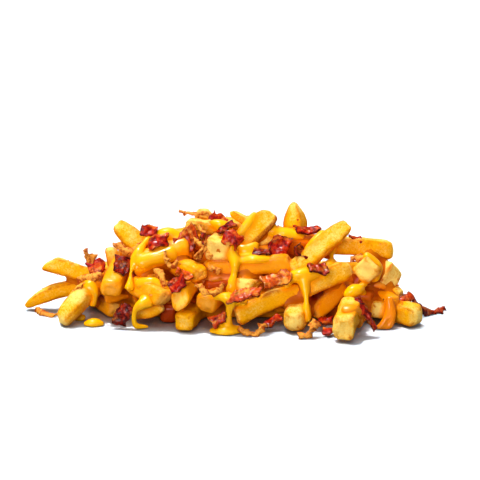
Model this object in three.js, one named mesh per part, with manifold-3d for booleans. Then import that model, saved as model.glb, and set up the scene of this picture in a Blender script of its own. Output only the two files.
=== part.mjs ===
// A loose heap of thick-cut fries with melted cheese sauce, crisp bacon bits and fried onion shreds.
// All sizes are in millimetres, +X is to the right, +Y is away from the viewer and +Z is up.
import * as THREE from "three";
import { mergeVertices } from "three/addons/utils/BufferGeometryUtils.js";
import Module from "manifold-3d";

const wasm = await Module();
wasm.setup();

// The share of a fry's smaller side that is cut off each long edge, how a cut end narrows, the share
// of the length from which a tip needs one more ring, and the share that a slanted cut leans into.
const FRY_CORNER = 0.21;
const CUT_END = { share: 0.07, scale: 0.8 };
const LONG_TIP = 0.15;
const SLANT_SHARE = 0.3;

// A bacon bit's thickness, the shares of its width by which its sides waver and lean, the share of
// its length by which its ends waver, the height of its ripple, and how much a pointed one narrows.
const BACON = { thick: 2, waver: 0.1, lean: 0.14, nibble: 0.05, ripple: 0.4, point: 0.6 };

// A shred's thickness, its twist in degrees, and the share of its width that its ends keep.
const SHRED = { thick: 1.5, twist: 14, end: 0.55 };

// The blunt ends of a sauce flow as shares of its radius, the gap round a loose piece, the distance
// within which points are one, and the upward share from which a line of travel counts as steep.
const BLUNT_END = { scale: 0.5, push: 0.75 };
const LOOSE_GAP = 0.3;
const WELD = 0.001;
const STEEP = 0.92;

// The block of ground that is cut away from under the heap.
const GROUND = { wide: 400, deep: 300, thick: 60 };

// What is taken off the tables' places, so that the whole stands over the middle of its own box.
const BOX_MIDDLE = [1.04, -0.37];

// How finely the pieces are divided.
const SAUCE_SIDES = 5;
const SAUCE_STEP = 9;
const SLAB_CELLS = [3, 2];
const CORE_SIDES = 7;

const FINISHES = {
  heap: { color: 0xf5b53a, roughness: 0.55, metalness: 0 },
  sauce: { color: 0xf7a715, roughness: 0.25, metalness: 0 },
  bacon: { color: 0x8c2114, roughness: 0.45, metalness: 0 },
  onion: { color: 0xd98b42, roughness: 0.7, metalness: 0 },
};

// The hidden body of the heap: rows of place along X, middle in Y, half depth and height.
const CORE_RIBS = [
  [-78, 4, 3, 3],
  [-68, 5, 10, 8],
  [-56, 6, 17, 18],
  [-38, 8, 27, 28],
  [-14, 9, 29, 36],
  [12, 9, 29, 37],
  [34, 8, 28, 32],
  [54, 6, 25, 21],
  [70, 4, 18, 13],
  [82, 3, 4, 4],
];

// Fries of the side that faces the viewer. Each runs from its free end to its buried end, and has a
// section size. Some have a roll about their length in degrees, a rise at their middle, the share of
// the length over which each end narrows, the scale it narrows to, and a slant of the free end's cut.
const FRONT_FRIES = {
  wingLeft: { from: [-95.5, -2, 25.4], to: [-62, -8, 16.5], size: [12, 9], roll: -18, slant: 34 },
  tailLeft: {
    from: [-109, -3, 2], to: [-70, -2, 13], size: [10, 8.8],
    rise: 2, narrow: [0.55, 0.1], tip: [0.3, 0.8],
  },
  legLeft: {
    from: [-86, -29, 3], to: [-69, -12, 20], size: [12, 11],
    narrow: [0.4, 0.1], tip: [0.58, 0.8], roll: 20,
  },
  hornLeft: {
    from: [-60.3, 2, 46], to: [-37, -6, 25.5], size: [12.5, 8.5],
    roll: 60, narrow: [0.55, 0.1], tip: [0.42, 0.8],
  },
  noseLeft: { from: [-61, -28, 19], to: [-57, -4, 26], size: [11.5, 9.5], slant: 12 },
  baseLeft: { from: [-59, -14, 5.4], to: [-74, 6, 6], size: [11, 10.6] },
  saucyLeft: { from: [-50, -16, 27], to: [-21, -11, 37], size: [12.5, 12.5], roll: 38, rise: 1 },
  sliver: { from: [-45, -20, 22], to: [-36, -12, 24], size: [7, 6], tip: [0.4, 0.8], narrow: [0.4, 0.1] },
  saucyMiddle: { from: [-33, -32, 16], to: [-50, -18, 19], size: [11, 10], slant: -20, roll: 15 },
  floorWedge: {
    from: [-35, -27, 9], to: [-50, -22, 5], size: [9, 9],
    narrow: [0.6, 0.2], tip: [0.25, 0.7], rise: 1,
  },
  cubeEnd: { from: [-24, -38, 5.3], to: [-16, -10, 5.3], size: [10.5, 10.4] },
  middleWedge: { from: [-26, -37, 17], to: [-18, -10, 22.5], size: [11, 9], slant: 38, roll: -25 },
  mottledEnd: {
    from: [-15, -28, 27], to: [-32, -8, 28], size: [11, 10.5],
    tip: [0.72, 0.8], narrow: [0.2, 0.1],
  },
  topLog: { from: [-24, 2, 45], to: [0, 0, 43.5], size: [9, 7.5], tip: [0.7, 0.8] },
  topTip: { from: [-17, 9, 50.6], to: [-8, 4, 43], size: [8, 7], tip: [0.75, 0.8] },
  paleBlock: { from: [-7, -21, 38], to: [-1, 4, 37], size: [13.8, 11.4] },
  longBeam: { from: [30, -20, 31.5], to: [-14, -17, 26.5], size: [11, 10], slant: 18, roll: 6 },
  lowerLog: { from: [2, -32, 7], to: [38, -21, 17], size: [12, 10.8], rise: 1.5, roll: -8 },
  leafTop: {
    from: [21, -2, 52.5], to: [4.5, -11, 38.5], size: [13, 6],
    roll: -56, narrow: [0.3, 0.2], tip: [0.45, 0.7],
  },
  bladeTop: {
    from: [32, 6, 57], to: [33.5, 1, 36], size: [10.8, 8],
    roll: 38, narrow: [0.7, 0.1], tip: [0.12, 0.9],
  },
  thinTip: { from: [-1, 4, 51.5], to: [12, 0, 44], size: [5, 5], narrow: [0.5, 0.1], tip: [0.4, 0.8] },
  flatFry: {
    from: [25, -3, 42], to: [5, -8, 37], size: [8.5, 7],
    roll: 10, narrow: [0.3, 0.1], tip: [0.5, 0.8],
  },
  longLean: {
    from: [60, -9, 48.5], to: [30, -23, 25.5], size: [10.8, 8.6],
    roll: -48, narrow: [0.3, 0.1], tip: [0.45, 0.8],
  },
  rightBeam: { from: [83, 0, 32], to: [42, -3, 36.4], size: [10, 10], roll: 4 },
  rightLog: {
    from: [59, -19, 28], to: [34, -27, 19.5], size: [12, 11.6],
    roll: 12, narrow: [0.25, 0.1], tip: [0.6, 0.8],
  },
  diamondEnd: { from: [67.5, -25, 28.6], to: [74, 3, 21], size: [12, 12], roll: 45 },
  paleRight: { from: [83.5, -6, 25.5], to: [74, -12, 8], size: [12, 10.6], roll: 10, slant: -20 },
  frontLeg: { from: [54.5, -53.48, 7.2], to: [60, -37, 14.6], size: [11.4, 13], slant: 25 },
  smallBox: { from: [74, -28, 8], to: [77, -8, 6], size: [8.4, 8.6], roll: 5 },
  blockRight: {
    from: [93.5, -30, 6], to: [74, -10, 6.5], size: [12.8, 12],
    tip: [0.78, 0.8], narrow: [0.16, 0.1],
  },
  crumbBall: {
    from: [87, -14, 14.5], to: [78, -9, 9], size: [8, 6.5],
    tip: [0.6, 0.8], narrow: [0.3, 0.1],
  },
  pillow: {
    from: [30.5, -41, 6.6], to: [38, -14, 8], size: [12.6, 13],
    tip: [0.72, 0.8], narrow: [0.24, 0.1],
  },
  saucyCentre: { from: [-13, -35, 14], to: [-2, -12, 17], size: [11.4, 12], roll: 12 },
};

// Fries that show only between the others, in their shade.
const SHADED_FRIES = {
  flatUnder: { from: [41.5, -29, 7], to: [56, -16, 17], size: [10, 8], roll: -20, slant: 10 },
  paleEnd: { from: [5, -30, 22], to: [16, -10, 19], size: [11, 7.5], roll: 10 },
  saucyRight: { from: [83, -27, 12], to: [74, -10, 10], size: [8, 8.4], roll: 10 },
  legRest: { from: [61, -37, 6], to: [67, -14, 8], size: [9, 9] },
  shadePost: { from: [-33, -25, 5], to: [-30, -6, 6], size: [9, 10] },
  shadeBeam: { from: [72, -19, 10.5], to: [50, -14, 13], size: [11, 11] },
  shadeBlock: { from: [49, -19, 5], to: [58, -2, 8], size: [10.5, 10.5] },
  shadeCentre: { from: [-14, -26, 19], to: [12, -22, 20], size: [11, 10] },
  shadeTop: { from: [24, -3, 38], to: [52, -4, 34.5], size: [12, 11], roll: 14 },
  leanCentre: { from: [-45, -4, 36], to: [-14, -1, 37.5], size: [11, 9] },
  shadeLeft: { from: [-66, -16, 14], to: [-44, -10, 18], size: [12, 11], roll: 10 },
  stubBack: { from: [-64, 7, 31], to: [-59, 4, 8], size: [8, 8], tip: [0.7, 0.8] },
};

// Fries of the far side, which close the heap all round.
const BACK_FRIES = {
  floorA: { from: [-88, 11, 5.2], to: [-54, 20, 6], size: [11, 10.4] },
  floorB: { from: [-66, 38, 5.2], to: [-36, 22, 8], size: [11, 10.4] },
  floorC: { from: [-46, 47, 5.2], to: [-14, 34, 7], size: [10.5, 10.4] },
  floorD: { from: [-22, 51, 5.2], to: [-8, 22, 9], size: [11, 10.4] },
  floorE: { from: [-2, 49, 5.2], to: [32, 38, 7], size: [10.5, 10.4] },
  floorF: { from: [24, 53, 6], to: [32, 22, 10], size: [11, 10.8] },
  floorG: { from: [44, 49, 5.2], to: [68, 24, 6], size: [11, 10.4] },
  floorH: { from: [88, 17, 5.2], to: [56, 22, 7], size: [10.5, 10.4] },
  floorI: { from: [76, 42, 5.2], to: [50, 20, 9], size: [11, 10.4], narrow: [0.35, 0.1], tip: [0.4, 0.8] },
  middleA: { from: [-74, 22, 13], to: [-42, 12, 18], size: [10.5, 10], roll: 12 },
  middleB: { from: [-56, 36, 14], to: [-22, 26, 18], size: [11, 10], rise: 1.5 },
  middleC: { from: [-30, 43, 16], to: [2, 28, 18], size: [11, 10], roll: 20 },
  middleD: { from: [30, 40, 18], to: [-4, 34, 15], size: [11, 10.5], rise: 2 },
  middleE: { from: [14, 48, 16], to: [44, 24, 15], size: [10.5, 10], roll: -10 },
  middleF: { from: [70, 30, 9.5], to: [38, 30, 12.5], size: [11, 10], slant: 20 },
  middleG: { from: [80, 14, 16], to: [46, 10, 18], size: [10.5, 10], roll: 25 },
  upperA: { from: [-60, 14, 27], to: [-28, 14, 27], size: [11, 10], roll: 8 },
  upperB: { from: [-46, 31, 24], to: [-10, 20, 28], size: [11, 10], narrow: [0.3, 0.1], tip: [0.5, 0.8] },
  upperC: { from: [-10, 38, 27], to: [12, 18, 29], size: [11, 10], roll: 30 },
  upperD: { from: [40, 30, 25], to: [8, 24, 28], size: [10.5, 10], rise: 1.5 },
  upperE: { from: [45, 17, 21.5], to: [20, 18, 24], size: [11, 10], roll: -12 },
  crownA: { from: [-44, 14, 33], to: [-14, 14, 36], size: [10.5, 9.5], roll: 20 },
  crownB: { from: [-20, 26, 35], to: [4, 10, 39], size: [10.5, 9.5] },
  crownC: { from: [2, 26, 35], to: [28, 8, 37], size: [10.5, 9.5], roll: 14 },
  crownD: { from: [-8, 12, 41], to: [22, 8, 41.5], size: [10, 9], roll: 10 },
};

// Thick sauce: each flow is a line of points with a radius, and a squash of its height.
const SAUCE_FLOWS = {
  domeLeft: { path: [[-38, -4, 41.5, 3], [-33, -4, 42.5, 3.6], [-28, -4, 41, 3]], squash: 0.7 },
  ropeLeft: {
    path: [
      [-43, -8, 40, 2], [-47, -14, 37, 2.4], [-50, -18, 32, 2.2],
      [-51, -22, 27, 2], [-52, -26, 20, 1.8],
    ],
  },
  ridge: { path: [[-46, -24, 22, 2], [-40, -26, 24, 2.8], [-33, -26, 22, 2.4]] },
  dripLeft: {
    path: [
      [-41, -32, 17, 2.2], [-46, -33, 16, 3.4], [-50, -33, 11, 2.2],
      [-50, -33, 5, 1.8], [-48, -33, 1.6, 2.2], [-42, -31, 1, 1.3],
    ],
  },
  domeTop: { path: [[-11, -2, 49, 2], [-7, -3, 47.5, 3.6], [-3, -4, 46.5, 3]], squash: 0.8 },
  flowCentre: {
    path: [
      [-2.5, -13, 41, 2.8], [-0.5, -17, 38.5, 3], [2, -24, 33, 3.2],
      [1, -26, 26, 2.2], [0, -28, 20, 1.2],
    ],
  },
  domeBeam: { path: [[6, -21, 33, 2.4], [11, -22, 34, 3.4], [18, -21, 33.6, 2.6]], squash: 0.7 },
  ropeTop: { path: [[12, -4, 51, 2], [9, -7, 48, 3], [5, -10, 43, 3]] },
  ribbonTop: { path: [[20, -4, 43, 2.6], [27, -5, 42.5, 3.2], [33, -6, 42, 2.6]], squash: 0.8 },
  ribbonLean: { path: [[46, -11, 43.5, 2.2], [42, -13, 39, 3.2], [39, -16, 35, 2.6]] },
  poolRight: { path: [[28, -27, 24, 2.4], [33, -29, 27, 3.4], [39, -28, 28, 3], [43, -27, 28.5, 2]] },
  dripRight: { path: [[36, -31, 24, 3], [37, -34, 18, 2.2], [37.5, -36, 12, 2.3], [38.5, -37, 7, 1.6]] },
  coatCentre: { path: [[-9, -37, 19, 3], [-2, -37, 18, 4], [5, -34, 15, 3.4]] },
  dripCentre: { path: [[0, -37, 16, 3.6], [-1, -38, 10, 2.6], [-1.5, -37, 4, 4]] },
  puddle: { path: [[-9, -37, 1, 3.4], [-3, -37.5, 1.6, 6], [3, -36, 1, 3.6]], squash: 0.4 },
  coatDiamond: { path: [[68.5, -19, 35, 1.6], [74.5, -20, 29.5, 2], [73.5, -20, 23, 1.8]] },
  domeRight: { path: [[59, -27, 16.5, 2.6], [62, -26, 18.5, 3.6], [65, -24, 18, 2.6]] },
  patchLeg: { path: [[56, -48, 16.2, 1.8], [60, -47.5, 16.2, 2.6], [64.5, -44, 12, 1.8]] },
  flowRight: {
    path: [
      [79, -27, 15, 2.6], [81, -30, 10, 3.2], [80, -32, 5, 3.4],
      [75.5, -33, 1.8, 2.4], [72, -33, 1, 1.4],
    ],
  },
  string: { path: [[51, -8, 34.5, 1.8], [51, -14, 31, 0.9], [49, -20, 29.5, 1.8]] },
  coatFarLeft: { path: [[-72, -20, 19.5, 2.4], [-69, -22, 15, 2.4], [-70, -21, 9, 2]] },
  coatBackA: { path: [[-34, 20, 33, 3], [-28, 26, 31, 4.4], [-24, 34, 22, 3.2], [-22, 40, 17, 2.2]] },
  coatBackB: {
    path: [[8, 16, 43, 3], [14, 22, 38, 4], [18, 30, 30, 3], [22, 38, 23, 3.2], [24, 44, 15, 2]],
  },
  coatBackC: { path: [[34, 16, 31, 3], [38, 22, 28, 4], [43, 31, 21, 3]] },
};

// Onion shreds that lie on the heap: a line of points, a width, and a roll of the strip in degrees.
const ONION_SHREDS = {
  flakeLeft: { path: [[-75, -7, 35], [-74, -8, 31], [-70, -9, 26], [-66, -7, 21]], wide: 5.4, roll: 70 },
  stripLeft: { path: [[-79, -16, 21.5], [-73, -18.5, 23], [-66, -19.5, 25]], wide: 4.6, roll: 55 },
  threadLeft: { path: [[-80, -21, 16.5], [-77, -21, 19], [-73, -19, 21]], wide: 2, roll: 30 },
  boomerang: {
    path: [[-61, -7, 37.5], [-54, -12, 35.5], [-49, -12, 36.5], [-46, -10, 39]],
    wide: 3.6, roll: 50,
  },
  crest: { path: [[-27.5, 1, 52.6], [-21, 0, 50.6], [-14, 0, 51.4], [-10, 0, 50]], wide: 2.6, roll: 20 },
  longCentre: { path: [[-18, -9, 47], [-14, -15, 43], [-14, -20, 38], [-19, -24, 33]], wide: 5, roll: 60 },
  curlCentre: {
    path: [[-33, -21, 37], [-32, -24, 32], [-26, -24, 33], [-19, -24, 33]],
    wide: 3.4, roll: 50,
  },
  shredCentre: { path: [[-39, -24, 29], [-36, -28, 26.5], [-33, -30, 22]], wide: 5, roll: 60 },
  hook: { path: [[-18, -36, 25], [-13, -39, 21.5], [-7, -38, 22], [-4, -36, 25.5]], wide: 2.8, roll: 60 },
  flakeRight: { path: [[61, -10, 31], [66, -12, 31.8], [72, -12, 32.6]], wide: 4, roll: 30 },
  backB: { path: [[0, 34, 33], [8, 34, 31], [12, 38, 25]], wide: 4, roll: -50 },
};

// Pieces that lie clear of the heap or are as large as a berry, each a node of its own.
const BACON_BITS = {
  bacon_01: { from: [-73, -15, 25], to: [-65, -15, 29], wide: 7.5, roll: 60, curl: 0.8 },
  bacon_02: { from: [-60, -20, 30.5], to: [-51, -20, 30], wide: 9, roll: 68, curl: -1 },
  bacon_03: { from: [-47, -6, 44.5], to: [-38, -6, 43.5], wide: 6.4, roll: 55, curl: 0.8 },
  bacon_04: { from: [-42.5, -16, 40.4], to: [-32, -16, 41.8], wide: 7, roll: 58, curl: -0.8 },
  bacon_05: { from: [-28, -13.5, 37.8], to: [-17.5, -12.5, 45], wide: 10.6, roll: 66, curl: 2.4 },
  bacon_06: { from: [-10.6, -1, 51.6], to: [-3, -2, 47.4], wide: 5, roll: 62, curl: 0.5 },
  bacon_07: { from: [-7, -8, 44], to: [1.5, -8, 49], wide: 4, roll: 40, curl: 0.5 },
  bacon_08: { from: [-3.4, -19.5, 46], to: [4.6, -20.5, 41], wide: 8, roll: 70, curl: -0.6 },
  bacon_09: { from: [-15.2, -18, 46], to: [-12.8, -18, 41.6], wide: 3.4, roll: 60, curl: 0.4 },
  bacon_10: { from: [-53, -32, 13], to: [-56.6, -33, 1.6], wide: 8, roll: 15, curl: 0.8 },
  bacon_11: { from: [-31, -34.5, 22.4], to: [-23, -34.5, 26.2], wide: 6.6, roll: 64, curl: 0.5 },
  bacon_12: { from: [-28, -30, 29.3], to: [-19.5, -31, 27], wide: 5, roll: 30, curl: 1.4 },
  bacon_13: { from: [-10, -39.5, 5], to: [-3, -39.5, 11], wide: 7.4, roll: 60, curl: 0.5, pointed: true },
  bacon_14: { from: [19.2, -16, 40.8], to: [29.4, -16, 37.8], wide: 10, roll: 74, curl: 0.5 },
  bacon_15: { from: [11, -20, 36.5], to: [19.5, -20, 37], wide: 4.8, roll: 28, curl: 0.8 },
  bacon_16: { from: [32, -6, 44.6], to: [45, -6, 44.6], wide: 5.4, roll: 14, curl: 1.2 },
  bacon_17: { from: [32, -21, 40], to: [38, -20, 34.5], wide: 6.4, roll: 60, curl: 2.4 },
  bacon_18: { from: [38, -30.6, 31.2], to: [48, -29.6, 31.2], wide: 6.4, roll: 26, curl: 0.8 },
  bacon_19: { from: [15.4, -30.2, 23], to: [29.4, -30.2, 28.1], wide: 7, roll: 48, curl: 1.4 },
  bacon_20: { from: [-2.6, -40, 18.6], to: [15, -38, 21.8], wide: 6, roll: 46, curl: -1 },
  bacon_21: { from: [16, -37, 2.4], to: [24.5, -34, 8], wide: 4.4, roll: 40, curl: 0.6 },
  bacon_22: { from: [43, -35.6, 5.8], to: [51, -34.6, 5], wide: 4.6, roll: 30, curl: 0.5 },
  bacon_23: { from: [45.4, -43, 2.2], to: [52.6, -41, 2.6], wide: 5, roll: 20, curl: 0.4 },
  bacon_24: { from: [61, -3, 39.6], to: [67.2, -3, 38.2], wide: 4.2, roll: 20, curl: 0.5 },
  bacon_25: { from: [61.6, -43.5, 19.2], to: [71.7, -44, 3.2], wide: 6, roll: 66, curl: -1.2, pointed: true },
  bacon_26: { from: [-45.9, 20.8, 32.8], to: [-37.8, 24.2, 33.1], wide: 8, roll: -52, curl: 1 },
  bacon_27: { from: [-4.1, 19.4, 41.9], to: [4.7, 19.3, 41.8], wide: 7.4, roll: -51, curl: 1 },
  bacon_28: { from: [15.4, 33.1, 32.4], to: [24.3, 34.5, 30.6], wide: 8, roll: -45, curl: 1 },
  bacon_29: { from: [-33.9, 29.7, 32.4], to: [-26, 30.5, 33.4], wide: 7.4, roll: -39, curl: 1 },
  bacon_30: { from: [73.1, 34.6, 12.2], to: [67.1, 39.8, 12.4], wide: 7.4, roll: 30, curl: 0.8 },
};

// Shreds that lie loose at the heap's foot. One of them is meat, so it has the bacon's finish.
const LOOSE_SHREDS = {
  onion_left: {
    path: [[-102, -9, 3], [-98, -12, 1.4], [-93, -14, 1.2], [-88.6, -14.5, 2.6]],
    wide: 2.2, roll: 30,
  },
  onion_front: {
    path: [[4, -40, 4], [7, -42, 1.4], [12, -43, 1.6], [15, -42, 5], [17, -41, 6]],
    wide: 3, roll: 40,
  },
  onion_right: {
    path: [[33, -47, 1.4], [38, -46, 2], [39.5, -45, 6], [41.5, -44, 9]],
    wide: 4.6, roll: 50,
  },
  bacon_tail: {
    path: [
      [77, -23, 13], [85, -22, 10.6], [91.5, -20, 13.2], [96, -16, 7],
      [101, -12, 2.6], [106, -9, 1.6], [110.93, -8, 3.4],
    ],
    wide: 4.4, roll: 50, meat: true,
  },
};

// Drops of sauce on the ground beside the heap.
const SAUCE_DROPS = {
  sauce_drop: { path: [[-73, -27, 1, 2.2], [-70, -27, 1.4, 3.4], [-67, -27, 1, 2.2]], squash: 0.7 },
  crumb_drop: { path: [[-79.6, -19, 1.2, 1.8], [-77.2, -19, 1.4, 2.2]], squash: 0.8 },
};

// A place from the tables, moved into the frame of the whole.
function vector(point) {
  return new THREE.Vector3(point[0] - BOX_MIDDLE[0], point[1] - BOX_MIDDLE[1], point[2]);
}

// A sideways and an upward direction across a line of travel, rolled about it.
function acrossFrame(direction, rollDegrees) {
  const steep = Math.abs(direction.z) > STEEP;
  const up = steep ? new THREE.Vector3(0, 1, 0) : new THREE.Vector3(0, 0, 1);
  const side = new THREE.Vector3().crossVectors(direction, up).normalize();
  const top = new THREE.Vector3().crossVectors(side, direction).normalize();
  const roll = THREE.MathUtils.degToRad(rollDegrees);
  side.applyAxisAngle(direction, roll);
  top.applyAxisAngle(direction, roll);
  return { side, top };
}

// Moves every point of a geometry to a new place.
function reshape(geometry, place) {
  const position = geometry.getAttribute("position");
  for (let k = 0; k < position.count; k += 1) {
    const moved = place(position.getX(k), position.getY(k), position.getZ(k));
    position.setXYZ(k, moved.x, moved.y, moved.z);
  }
  return geometry;
}

// A solid from a closed geometry, with its points welded and its faces turned outward.
function solidOf(geometry) {
  const bare = new THREE.BufferGeometry();
  bare.setAttribute("position", geometry.getAttribute("position"));
  bare.setIndex(geometry.getIndex());
  const welded = mergeVertices(bare, WELD);
  const places = welded.getAttribute("position").array;
  const corners = welded.getIndex().array;
  const at = (corner) => new THREE.Vector3().fromArray(places, 3 * corner);
  let volume = 0;
  for (let k = 0; k < corners.length; k += 3) {
    volume += at(corners[k]).dot(at(corners[k + 1]).cross(at(corners[k + 2])));
  }
  const triangles = volume > 0 ? corners : corners.toReversed();
  return new wasm.Manifold(new wasm.Mesh({
    numProp: 3,
    vertProperties: new Float32Array(places),
    triVerts: new Uint32Array(triangles),
  }));
}

// A bar of one section, one unit long, cut across into equal steps.
function sectionBar(section, steps) {
  const shape = new THREE.Shape(section.map(([x, y]) => new THREE.Vector2(x, y)));
  return new THREE.ExtrudeGeometry(shape, { depth: 1, steps, bevelEnabled: false });
}

// The corners of a bar's section. A bar that shows well has each corner cut off once.
function barSection(wide, high, plain) {
  const w = wide / 2;
  const h = high / 2;
  if (plain) {
    return [[w, h], [-w, h], [-w, -h], [w, -h]];
  }
  const c = FRY_CORNER * Math.min(wide, high);
  return [
    [w, h - c], [w - c, h], [c - w, h], [-w, h - c],
    [-w, c - h], [c - w, -h], [w - c, -h], [w, c - h],
  ];
}

// One fry: a bar that bends a little, with ends that are cut square, slanted or drawn to a tip.
function fry(row, plain = false) {
  const [wide, high] = row.size;
  const narrow = row.narrow ?? [CUT_END.share, CUT_END.share];
  const tip = row.tip ?? [CUT_END.scale, CUT_END.scale];
  const slant = Math.tan(THREE.MathUtils.degToRad(row.slant ?? 0));
  const start = vector(row.from);
  const length = start.distanceTo(vector(row.to));
  const direction = vector(row.to).sub(start).normalize();
  const { side, top } = acrossFrame(direction, row.roll ?? 0);
  const stations = [0, narrow[0], 1 - narrow[1], 1];
  if (narrow[0] > LONG_TIP) {
    stations.push(narrow[0] * 0.4);
  }
  if (row.rise) {
    stations.push(0.55);
  }
  stations.sort((a, b) => a - b);
  const bar = sectionBar(barSection(wide, high, plain), stations.length - 1);
  return solidOf(reshape(bar, (across, upward, share) => {
    const t = stations[Math.round(share * (stations.length - 1))];
    const startScale = tip[0] + (1 - tip[0]) * Math.sqrt(Math.min(1, t / narrow[0]));
    const endScale = tip[1] + (1 - tip[1]) * Math.sqrt(Math.min(1, (1 - t) / narrow[1]));
    const scale = startScale * endScale;
    const lean = slant * upward * Math.max(0, 1 - t / SLANT_SHARE);
    const rise = (row.rise ?? 0) * 4 * t * (1 - t);
    return start.clone()
      .addScaledVector(direction, length * t + lean)
      .addScaledVector(side, across * scale)
      .addScaledVector(top, upward * scale + rise);
  }));
}

// The hidden middle of the heap: half an ellipse that swells and shrinks along X, with a flat underside.
function heapCore() {
  const section = Array.from({ length: CORE_SIDES + 1 }, (_, k) => {
    const turn = (Math.PI * k) / CORE_SIDES;
    return [Math.cos(turn), Math.sin(turn)];
  });
  const steps = CORE_RIBS.length - 1;
  return solidOf(reshape(sectionBar(section, steps), (across, upward, share) => {
    const [x, middle, halfDepth, height] = CORE_RIBS[Math.round(share * steps)];
    return vector([x, middle + halfDepth * across, height * upward]);
  }));
}

// One flow of sauce: a string of round sections that swell and shrink, with blunt ends.
function sauceFlow(row, grow = 0) {
  const middle = new THREE.CatmullRomCurve3(row.path.map(vector));
  const radius = new THREE.CatmullRomCurve3(row.path.map((point) => new THREE.Vector3(point[3], 0, 0)));
  const inner = Math.max(3, Math.round(middle.getLength() / SAUCE_STEP));
  const steps = inner + 2;
  const section = Array.from({ length: SAUCE_SIDES }, (_, k) => {
    const turn = (2 * Math.PI * k) / SAUCE_SIDES;
    return [Math.cos(turn), Math.sin(turn)];
  });
  return solidOf(reshape(sectionBar(section, steps), (across, upward, share) => {
    const step = Math.round(share * steps);
    const isCap = step === 0 || step === steps;
    const t = THREE.MathUtils.clamp((step - 1) / inner, 0, 1);
    const direction = middle.getTangent(t).normalize();
    const { side, top } = acrossFrame(direction, 0);
    const reach = radius.getPoint(t).x + grow;
    const width = isCap ? reach * BLUNT_END.scale : reach;
    const push = isCap ? reach * BLUNT_END.push * (step === 0 ? -1 : 1) : 0;
    const offset = side.multiplyScalar(across * width).addScaledVector(top, upward * width);
    offset.z *= row.squash ?? 1;
    return middle.getPoint(t).addScaledVector(direction, push).add(offset);
  }));
}

// One shred: a strip of even thickness along a line of points, twisted, and narrower at its ends.
function shred(row, grow = 0) {
  const middle = new THREE.CatmullRomCurve3(row.path.map(vector));
  const steps = row.path.length + 1;
  const strip = new THREE.BoxGeometry(2, 2, 1, 1, 1, steps);
  return solidOf(reshape(strip, (across, upward, along) => {
    const t = THREE.MathUtils.clamp(along + 0.5, 0, 1);
    const direction = middle.getTangent(t).normalize();
    const { side, top } = acrossFrame(direction, row.roll + SHRED.twist * Math.sin(5 * t));
    const half = (row.wide / 2) * (SHRED.end + (1 - SHRED.end) * Math.sin(Math.PI * t)) + grow;
    const push = t === 0 ? -grow : t === 1 ? grow : 0;
    return middle.getPoint(t)
      .addScaledVector(direction, push)
      .addScaledVector(side, across * half)
      .addScaledVector(top, upward * (SHRED.thick / 2 + grow));
  }));
}

// One bacon bit: a thin wavy slab with ragged edges.
function baconBit(row, grow = 0) {
  const start = vector(row.from);
  const length = start.distanceTo(vector(row.to));
  const direction = vector(row.to).sub(start).normalize();
  const { side, top } = acrossFrame(direction, row.roll);
  const phase = row.from[0] + row.from[2];
  return solidOf(reshape(slab(SLAB_CELLS), (along, across, face) => {
    const s = along + 0.5;
    const v = 2 * across;
    const waver = BACON.waver * Math.sin(9.3 * s + phase);
    const lean = BACON.lean * v * Math.sin(5.1 * s + phase);
    const half = (row.wide / 2) * (1 + waver - lean) * (row.pointed ? 1 - BACON.point * s : 1) + grow;
    const wave = row.curl * (4 * along ** 2 - 0.4) + BACON.ripple * Math.sin(4 * s + 2 * v + phase);
    const nibble = BACON.nibble * Math.sin(2.3 * v + phase) * length;
    return start.clone()
      .addScaledVector(direction, s * (length + 2 * grow) - grow + nibble)
      .addScaledVector(side, v * half)
      .addScaledVector(top, wave + face * (BACON.thick / 2 + grow));
  }));
}

// A flat slab of cells, one unit long and wide, between heights -1 and 1. Its underside repeats the
// triangles of its upper side, and a wall joins the two round the edge.
function slab([alongCells, acrossCells]) {
  const sheet = new THREE.PlaneGeometry(1, 1, alongCells, acrossCells);
  const flat = Array.from(sheet.getAttribute("position").array);
  const upper = flat.map((value, k) => (k % 3 === 2 ? 1 : value));
  const lower = flat.map((value, k) => (k % 3 === 2 ? -1 : value));
  const under = flat.length / 3;
  const face = Array.from(sheet.getIndex().array);
  const corners = [...face, ...face.toReversed().map((corner) => corner + under)];
  const row = alongCells + 1;
  const wall = (a, b) => corners.push(a, a + under, b + under, a, b + under, b);
  for (let k = 0; k < alongCells; k += 1) {
    wall(k + 1, k);
    wall(acrossCells * row + k, acrossCells * row + k + 1);
  }
  for (let k = 0; k < acrossCells; k += 1) {
    wall(k * row, (k + 1) * row);
    wall((k + 1) * row + alongCells, k * row + alongCells);
  }
  const body = new THREE.BufferGeometry();
  body.setAttribute("position", new THREE.Float32BufferAttribute([...upper, ...lower], 3));
  body.setIndex(corners);
  return body;
}

// The ground under the heap, cut away from every piece so that all of them stand on z = 0.
function ground() {
  const block = new THREE.BoxGeometry(GROUND.wide, GROUND.deep, GROUND.thick);
  block.translate(0, 0, -GROUND.thick / 2);
  return solidOf(block);
}

// The largest of the bodies that a cut leaves, so that scraps and shut hollows go.
function largestBody(solid) {
  return solid.decompose().reduce((best, next) => (next.volume() > best.volume() ? next : best));
}

// A named mesh with flat faces from a solid.
function meshOf(name, solid, finish) {
  const { vertProperties, triVerts } = solid.getMesh();
  const geometry = new THREE.BufferGeometry();
  geometry.setAttribute("position", new THREE.Float32BufferAttribute(vertProperties, 3));
  geometry.setIndex(new THREE.Uint32BufferAttribute(triVerts, 1));
  const faceted = geometry.toNonIndexed();
  faceted.computeVertexNormals();
  const mesh = new THREE.Mesh(faceted, new THREE.MeshStandardMaterial(finish));
  mesh.name = name;
  return mesh;
}

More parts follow.
